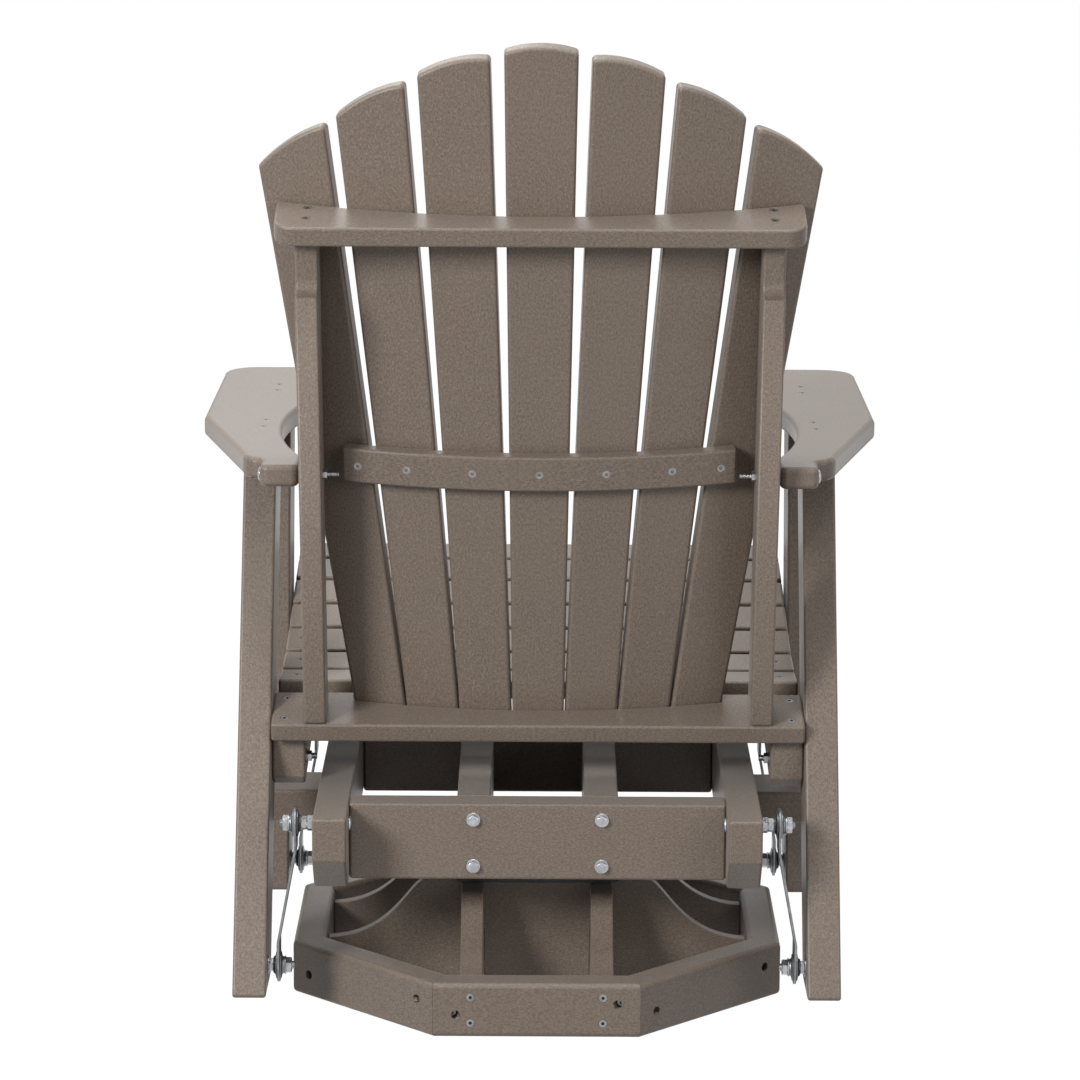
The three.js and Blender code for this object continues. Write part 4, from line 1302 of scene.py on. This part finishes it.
class GLIDER_OT_links(bpy.types.Operator):
    """Four joggled links with pressed cups and black bushes"""

    bl_idname = "glider.links"
    bl_label = "Glide links"

    def execute(self, context):
        links = context.scene.glider.links
        drop = links.lower_plane - links.upper_plane
        for side_name, side in SIDES:
            for end_name, end in ENDS:
                name = f"{end_name}_{side_name}"
                whole = link_bar(links)
                for x, z in ((0, 0), (drop, -links.link_length)):
                    for way in (1, -1):
                        part = cup(links, way)
                        part.points = [np.concatenate(part.points) + [x, 0, z]]
                        whole.join(part)
                origin = at(side * links.upper_plane, end * links.pivot_half, links.upper_height)
                whole.place(origin, X * side, Y * side)
                make_piece(f"link_{name}", whole, f"link_{name}",
                           ["steel", "bush"], [f"glide_link_{name}"], by_angle=True)
        return {"FINISHED"}


class GLIDER_OT_pivot_bolts(bpy.types.Operator):
    """Bolts, nuts and washers at the eight pivots"""

    bl_idname = "glider.pivot_bolts"
    bl_label = "Pivot bolts"

    def execute(self, context):
        g = context.scene.glider
        links, lumber = g.links, g.lumber
        gap, bolt, across = lumber.gap, links.bolt_radius, links.nut_across
        small = across * SMALL_NUT
        tail = gap * TAIL_GAPS
        cup_reach = links.thickness / 2 + links.cup_depth + gap
        rail_inner = g.frame.inner_half - gap
        rail_outer = g.frame.inner_half + lumber.stud_thickness + gap
        leg_inner = g.legs.inner_half - gap
        leg_outer = g.legs.inner_half + lumber.stud_thickness + gap
        thin, thick = links.washer_thickness, links.nut_thickness
        for side_name, side in SIDES:
            for end_name, end in ENDS:
                name = f"{end_name}_{side_name}"
                y, z = end * links.pivot_half, links.upper_height
                inner, outer = links.upper_plane - cup_reach, links.upper_plane + cup_reach
                tip = outer + thin + thick + tail
                nut_at = rail_outer + thin
                head = round_head(links.head_radius, links.head_height)
                head.place(at(side * rail_inner, y, z), Y * -side, Z)
                parts = [head] + on_line(side, y, z, (
                    (rail_inner, rod(bolt, tip - thick - rail_inner)),
                    (rail_outer, washer(links.washer_radius, thin)),
                    (nut_at, nut(across, thick)),
                    (nut_at + thick, nut(small, inner - nut_at - thick)),
                    (outer, washer(links.washer_radius, thin)),
                    (outer + thin, nut(across, thick)),
                    (outer + thin + thick / 2, thread(bolt, thick / 2 + tail, links.thread_pitch)),
                ))
                hardware(f"upper_pivot_{name}", "turntable", parts, [f"upper_pivot_bolt_{name}"])
                z -= links.link_length
                inner, outer = links.lower_plane - cup_reach, links.lower_plane + cup_reach
                tip = inner - thin - thick - tail
                parts = on_line(side, y, z, (
                    (tip, thread(bolt, thick, links.thread_pitch)),
                    (tip + thick / 2, rod(bolt, leg_outer - tip - thick / 2)),
                    (inner - thin - thick, nut(across, thick)),
                    (inner - thin, washer(links.washer_radius, thin)),
                    (outer, nut(small, leg_inner - thin - outer)),
                    (leg_inner - thin, washer(links.washer_radius, thin)),
                    (leg_outer, round_head(links.head_radius, links.low_head_height)),
                ))
                hardware(f"lower_pivot_{name}", "chair", parts, [f"lower_pivot_bolt_{name}"])
        return {"FINISHED"}


class GLIDER_OT_legs(bpy.types.Operator):
    """Four leaning legs with the bolts that hold the seat rails"""

    bl_idname = "glider.legs"
    bl_label = "Legs"

    def execute(self, context):
        g = context.scene.glider
        legs, links, lumber, fix = g.legs, g.links, g.lumber, g.fixings
        stud, low = lumber.stud_thickness, legs.foot_height
        top = g.arms.top - lumber.arm_thickness - lumber.gap
        thin, head = links.washer_thickness, fix.frame_bolt_height
        inner = g.seat.rail_inner
        for name, side in SIDES:
            parts = []
            for end_name, _ in ENDS:
                foot = getattr(legs, f"{end_name}_foot_back")
                lean = getattr(legs, f"{end_name}_lean")
                depth = lumber.stud_width / math.cos(lean)
                shift = (top - low) * math.tan(lean)
                leg = eased([(foot - depth, low), (foot, low), (foot - shift, top),
                             (foot - depth - shift, top)], lumber.corner_round)
                shape = leg, stud, lumber.edge_round
                lumber_piece(f"{end_name}_leg_{name}", "chair",
                             side_board(shape, legs.inner_half, side, f"{end_name}_leg", 1))
                parts += on_line(side, *SEAT_RAIL_BOLTS[end_name], (
                    (legs.inner_half + stud, round_head(links.head_radius, links.low_head_height)),
                    (inner - thin, washer(fix.frame_washer_radius, thin)),
                    (inner - thin - head, nut(fix.side_bolt_across, head)),
                    (inner - thin - head * RAIL_TAIL_END,
                     thread(links.bolt_radius * RAIL_TAIL_RADIUS, head * RAIL_TAIL,
                            links.thread_pitch)),
                ))
            hardware(f"seat_rail_bolts_{name}", "chair", parts)
        return {"FINISHED"}


class GLIDER_OT_arms(bpy.types.Operator):
    """Two paddle arms with their screws and the bolt through each back post"""

    bl_idname = "glider.arms"
    bl_label = "Arms"

    def execute(self, context):
        g = context.scene.glider
        arms, lumber, fix = g.arms, g.lumber, g.fixings
        thick, across, head = lumber.arm_thickness, fix.side_bolt_across, fix.frame_bolt_height
        inner = g.seat.rail_inner - lumber.post_thickness
        tail, tail_radius = head * ARM_TAIL, g.links.bolt_radius * ARM_TAIL_RADIUS
        cap = across * ARM_HEAD_RADIUS, head * ARM_HEAD_HEIGHT
        for name, side in SIDES:
            holes = sinks(fix, [(side * ARM_SCREW_X, y) for y in ARM_SCREW_YS])
            shell = board(arm_outline(arms, side), thick, arms.edge_round, holes)
            lumber_piece(f"arm_{name}", "chair", shell, at(0, 0, arms.top - thick), X, Y, 1,
                         GRAIN["arm"] + side)
            hardware(f"arm_screws_{name}", "chair",
                     screws_in(fix, holes, at(0, 0, arms.top), X, Y), plating="screw")
            hardware(f"arm_bolt_{name}", "chair", on_line(side, ARM_BOLT_Y, arms.top - thick / 2, (
                (arms.inner + arms.tongue_width, round_head(*cap)),
                (inner - head, nut(across, head)),
                (inner - tail, thread(tail_radius, tail, g.links.thread_pitch)),
            )))
        return {"FINISHED"}


def tipped(tilt):
    """The rearward and upward directions of something that leans back by an angle."""
    return (np.array([0, math.cos(tilt), -math.sin(tilt)]),
            np.array([0, math.sin(tilt), math.cos(tilt)]))


class GLIDER_OT_seat(bpy.types.Operator):
    """Contoured seat slats with their screws, the apron and the rails under them"""

    bl_idname = "glider.seat"
    bl_label = "Seat"

    def execute(self, context):
        g = context.scene.glider
        seat, lumber, fix = g.seat, g.lumber, g.fixings
        stud, plank, r = lumber.stud_thickness, lumber.plank_thickness, lumber.edge_round
        half, width = seat.half_length, seat.slat_width
        screw_x = seat.rail_inner + stud * SEAT_SCREW_IN
        slat = eased(rectangle(-half, 0, half, width), lumber.corner_round)
        holes = sinks(fix, [(way * screw_x, width / 2) for way in (-1, 1)])
        parts = []
        for number, (y, z, tilt) in enumerate(zip(*seat_places(seat))):
            rearward, upward = tipped(tilt)
            origin = at(0, y, z) - rearward * width
            lumber_piece(f"seat_slat_{number + 1}", "chair", board(slat, plank, r, holes),
                         origin - upward * plank, X, rearward, 0, GRAIN["seat_slat"] + number)
            parts += screws_in(fix, holes, origin, X, rearward)
        hardware("seat_screws", "chair", parts, plating="screw")
        front, top = seat_front(g)
        apron = eased(rectangle(-half, -seat.apron_height, half, 0), lumber.corner_round)
        lumber_piece("seat_apron", "chair", board(apron, plank, r), at(0, front + plank, top),
                     X, Z, 0, GRAIN["apron"])
        rail = seat_rail_outline(g), stud, r
        for name, side in SIDES:
            lumber_piece(f"seat_rail_{name}", "chair",
                         side_board(rail, seat.rail_inner, side, "seat_rail"))
        return {"FINISHED"}


def back_spot(g, x, y, z):
    """A place on the tipped back: across, rearward and up from its lower rear edge."""
    rearward, upward = tipped(g.back.recline)
    return at(0, g.back.foot_back, g.back.foot_height) + X * x + rearward * y + upward * z


class GLIDER_OT_back_frame(bpy.types.Operator):
    """The lower board, the top rail, the posts and the batten of the back"""

    bl_idname = "glider.back_frame"
    bl_label = "Back frame"

    def execute(self, context):
        g = context.scene.glider
        back, lumber, fix = g.back, g.lumber, g.fixings
        plank, post, r = lumber.plank_thickness, lumber.post_thickness, lumber.edge_round
        rearward, upward = tipped(back.recline)
        post_x = g.seat.rail_inner - post / 2
        for name, shape, level, screw_x, screw_ys in (
            ("lower_back_board", lower_board_outline, -plank, LOWER_SCREW_X, LOWER_SCREW_YS),
            ("top_back_rail", top_rail_outline, back.post_length + lumber.gap, post_x, TOP_SCREW_YS),
        ):
            holes = sinks(fix, [(side * screw_x, y) for _, side in SIDES for y in screw_ys])
            lumber_piece(name, "chair", board(shape(back, lumber), plank, r, holes),
                         back_spot(g, 0, 0, level), X, rearward, 0, GRAIN[name])
            face = back_spot(g, 0, 0, level + plank)
            hardware(f"{name}_screws", "chair", screws_in(fix, holes, face, X, rearward),
                     plating="screw")
        for name, side in SIDES:
            start = back_spot(g, side_start(g.seat.rail_inner - post, side, post), 0, 0)
            lumber_piece(f"back_post_{name}", "chair", board(post_outline(back, lumber), post, r),
                         start, rearward, upward, 1, GRAIN["post"] + side)
        radius, front = batten_radius(back, lumber)
        outer = radius + back.batten_thickness
        middle = -front - radius
        reach = math.asin(back.batten_half / radius)
        bend = np.linspace(-reach, reach, CURVE_STEPS)
        arc = np.stack([np.sin(bend), np.cos(bend)], -1)
        points = np.concatenate([arc * radius, (arc * outer)[::-1]]) + [0, middle]
        batten = rounded(points, lumber.corner_round, [0, CURVE_STEPS - 1, CURVE_STEPS, -1])
        level = back.batten_level - back.batten_height / 2
        lumber_piece("back_batten", "chair", board(batten, back.batten_height, r),
                     back_spot(g, 0, 0, level), X, rearward, 0, GRAIN["batten"])
        parts = []
        for x in BATTEN_SCREW_XS:
            lean = math.asin(x / outer)
            depth = middle + outer * math.cos(lean) + fix.screw_sink * BATTEN_SCREW_OUT
            outward = rearward * math.cos(lean) + X * math.sin(lean)
            spot = back_spot(g, x, depth, back.batten_level)
            parts.append(screw(fix).place(spot, np.cross(upward, outward), upward))
        hardware("batten_screws", "chair", parts, plating="screw")
        return {"FINISHED"}


class GLIDER_OT_back_slats(bpy.types.Operator):
    """Seven tapered slats that fan out and lie on the curved boards"""

    bl_idname = "glider.back_slats"
    bl_label = "Back slats"

    def execute(self, context):
        g = context.scene.glider
        back, lumber = g.back, g.lumber
        turn_back = np.array([X, *tipped(back.recline)])
        for index in range(-END_SLAT, END_SLAT + 1):
            across, turn, depths, levels = slat_place(back, lumber, index)
            foot, top = np.stack([across, -depths, levels], -1)
            up = unit(top - foot)
            tangent = np.array([math.cos(turn), -math.sin(turn), 0])
            tangent = unit(tangent - up * (tangent @ up))
            foot = foot - up * (levels[0] + back.slat_drop) / up[2]
            shell = board(slat_outline(back, lumber, index), lumber.slat_thickness,
                          lumber.bold_round)
            lumber_piece(f"back_slat_{END_SLAT + 1 - index}", "chair", shell, back_spot(g, *foot),
                         tangent @ turn_back, up @ turn_back, 1, GRAIN["back_slat"] + index)
        return {"FINISHED"}


def surface(owner, output, recipe):
    """Gives a material or world only what a recipe makes."""
    owner.use_nodes = True
    owner.node_tree.nodes.clear()
    shader = Shader(owner.node_tree)
    shader.node(output, sockets={"Surface": recipe(shader)})


def seen(shader):
    """1 for the camera, reflections and what shows through glass, and 0 for the light."""
    camera, glossy, clear = (shader.node("LightPath", output=f"Is {kind} Ray")
                             for kind in ("Camera", "Glossy", "Transmission"))
    return camera.math("MAXIMUM", glossy).math("MAXIMUM", clear)


def floor_surface(shader):
    """A pale floor that the camera and reflections see as near white, with the shadow kept."""
    plain = shader.node("BsdfDiffuse", sockets={"Color": FLOOR_SHADE})
    strength = seen(shader) * FLOOR_GLOW
    glow = shader.node("Emission", sockets={"Color": WHITE, "Strength": strength})
    return shader.node("AddShader", sockets={0: plain, 1: glow})


def world_surface(shader):
    """White where it is seen, and a soft even light everywhere else."""
    light = bpy.context.scene.glider.stage.world_light
    strength = seen(shader) * (1 - light) + light
    return shader.node("Background", sockets={"Color": WHITE, "Strength": strength})


def stand(name, data, place, way, roll=0):
    """Puts a lamp or camera at a place, looking along a direction and leaning by an angle."""
    right = unit(np.cross(way, Z))
    up = np.cross(right, way)
    matrix = np.eye(4)
    matrix[:3, 0] = right * math.cos(roll) + up * math.sin(roll)
    matrix[:3, 1] = up * math.cos(roll) - right * math.sin(roll)
    matrix[:3, 2] = -way
    matrix[:3, 3] = place
    thing = bpy.data.objects.new(name, data)
    thing.matrix_world = Matrix(matrix.tolist())
    bpy.context.scene.collection.objects.link(thing)
    return thing


class GLIDER_OT_stage(bpy.types.Operator):
    """The floor, the soft lamps, the world and the camera"""

    bl_idname = "glider.stage"
    bl_label = "Stage"

    def execute(self, context):
        scene = context.scene
        stage = scene.glider.stage
        half = stage.floor_half
        mesh = bpy.data.meshes.new("pale_floor")
        corners = [(x, y, FLOOR_HEIGHT) for x, y in rectangle(-half, -half, half, half).tolist()]
        mesh.from_pydata(corners, [], [(0, 1, 2, 3)])
        material = bpy.data.materials.new("pale_floor")
        surface(material, "OutputMaterial", floor_surface)
        mesh.materials.append(material)
        floor = bpy.data.objects.new("pale_floor", mesh)
        scene.collection.objects.link(floor)
        for name, power, size, place in LAMPS:
            data = bpy.data.lights.new(name, "AREA")
            data.energy, data.size = getattr(stage, power), size
            stand(name, data, place, unit(np.array(LAMP_TARGET) - np.array(place)))
        scene.world = bpy.data.worlds.new("soft_world")
        surface(scene.world, "OutputWorld", world_surface)
        scene.view_settings.view_transform = "Standard"
        data = bpy.data.cameras.new("camera")
        data.lens, data.sensor_width = stage.lens, SENSOR_WIDTH
        data.clip_start, data.clip_end = CAMERA_RANGE
        pitch, yaw = stage.camera_pitch, stage.camera_yaw
        way = np.array([math.sin(yaw) * math.cos(pitch), -math.cos(yaw) * math.cos(pitch),
                        -math.sin(pitch)])
        spot = at(0, stage.camera_back, stage.camera_height)
        scene.camera = stand("camera", data, spot, way, stage.camera_roll)
        return {"FINISHED"}


class GLIDER_PT_panel(bpy.types.Panel):
    """Lists the steps that build the chair"""

    bl_idname = "GLIDER_PT_panel"
    bl_label = "Swivel Glider Chair"
    bl_space_type = "VIEW_3D"
    bl_region_type = "UI"
    bl_category = "Glider"

    def draw(self, context):
        for operator in OPERATORS:
            self.layout.operator(operator.bl_idname)
        for group in ("lumber", "finishes"):
            values = getattr(context.scene.glider, group)
            for name in values.__annotations__:
                self.layout.prop(values, name)


GROUPS = (GliderLumber, GliderBase, GliderFrame, GliderLinks, GliderLegs, GliderArms, GliderSeat,
          GliderBack, GliderFixings, GliderFinishes, GliderStage, Glider)
OPERATORS = (GLIDER_OT_floor_ring, GLIDER_OT_webs, GLIDER_OT_bearing, GLIDER_OT_box_frame,
             GLIDER_OT_links, GLIDER_OT_pivot_bolts, GLIDER_OT_legs, GLIDER_OT_arms,
             GLIDER_OT_seat, GLIDER_OT_back_frame, GLIDER_OT_back_slats, GLIDER_OT_stage)
CLASSES = (*GROUPS, *OPERATORS, GLIDER_PT_panel)


def register():
    for group in GROUPS:
        for key, made in group.__annotations__.items():
            made.keywords["name"] = key.replace("_", " ").capitalize()
    for kind in CLASSES:
        bpy.utils.register_class(kind)
    bpy.types.Scene.glider = PointerProperty(
        type=Glider, name="Glider", description="All sizes and colours of the chair"
    )


def unregister():
    del bpy.types.Scene.glider
    for kind in reversed(CLASSES):
        bpy.utils.unregister_class(kind)


def main():
    register()
    for operator in OPERATORS:
        group, name = operator.bl_idname.split(".")
        getattr(getattr(bpy.ops, group), name)()


if __name__ == "__main__":
    main()
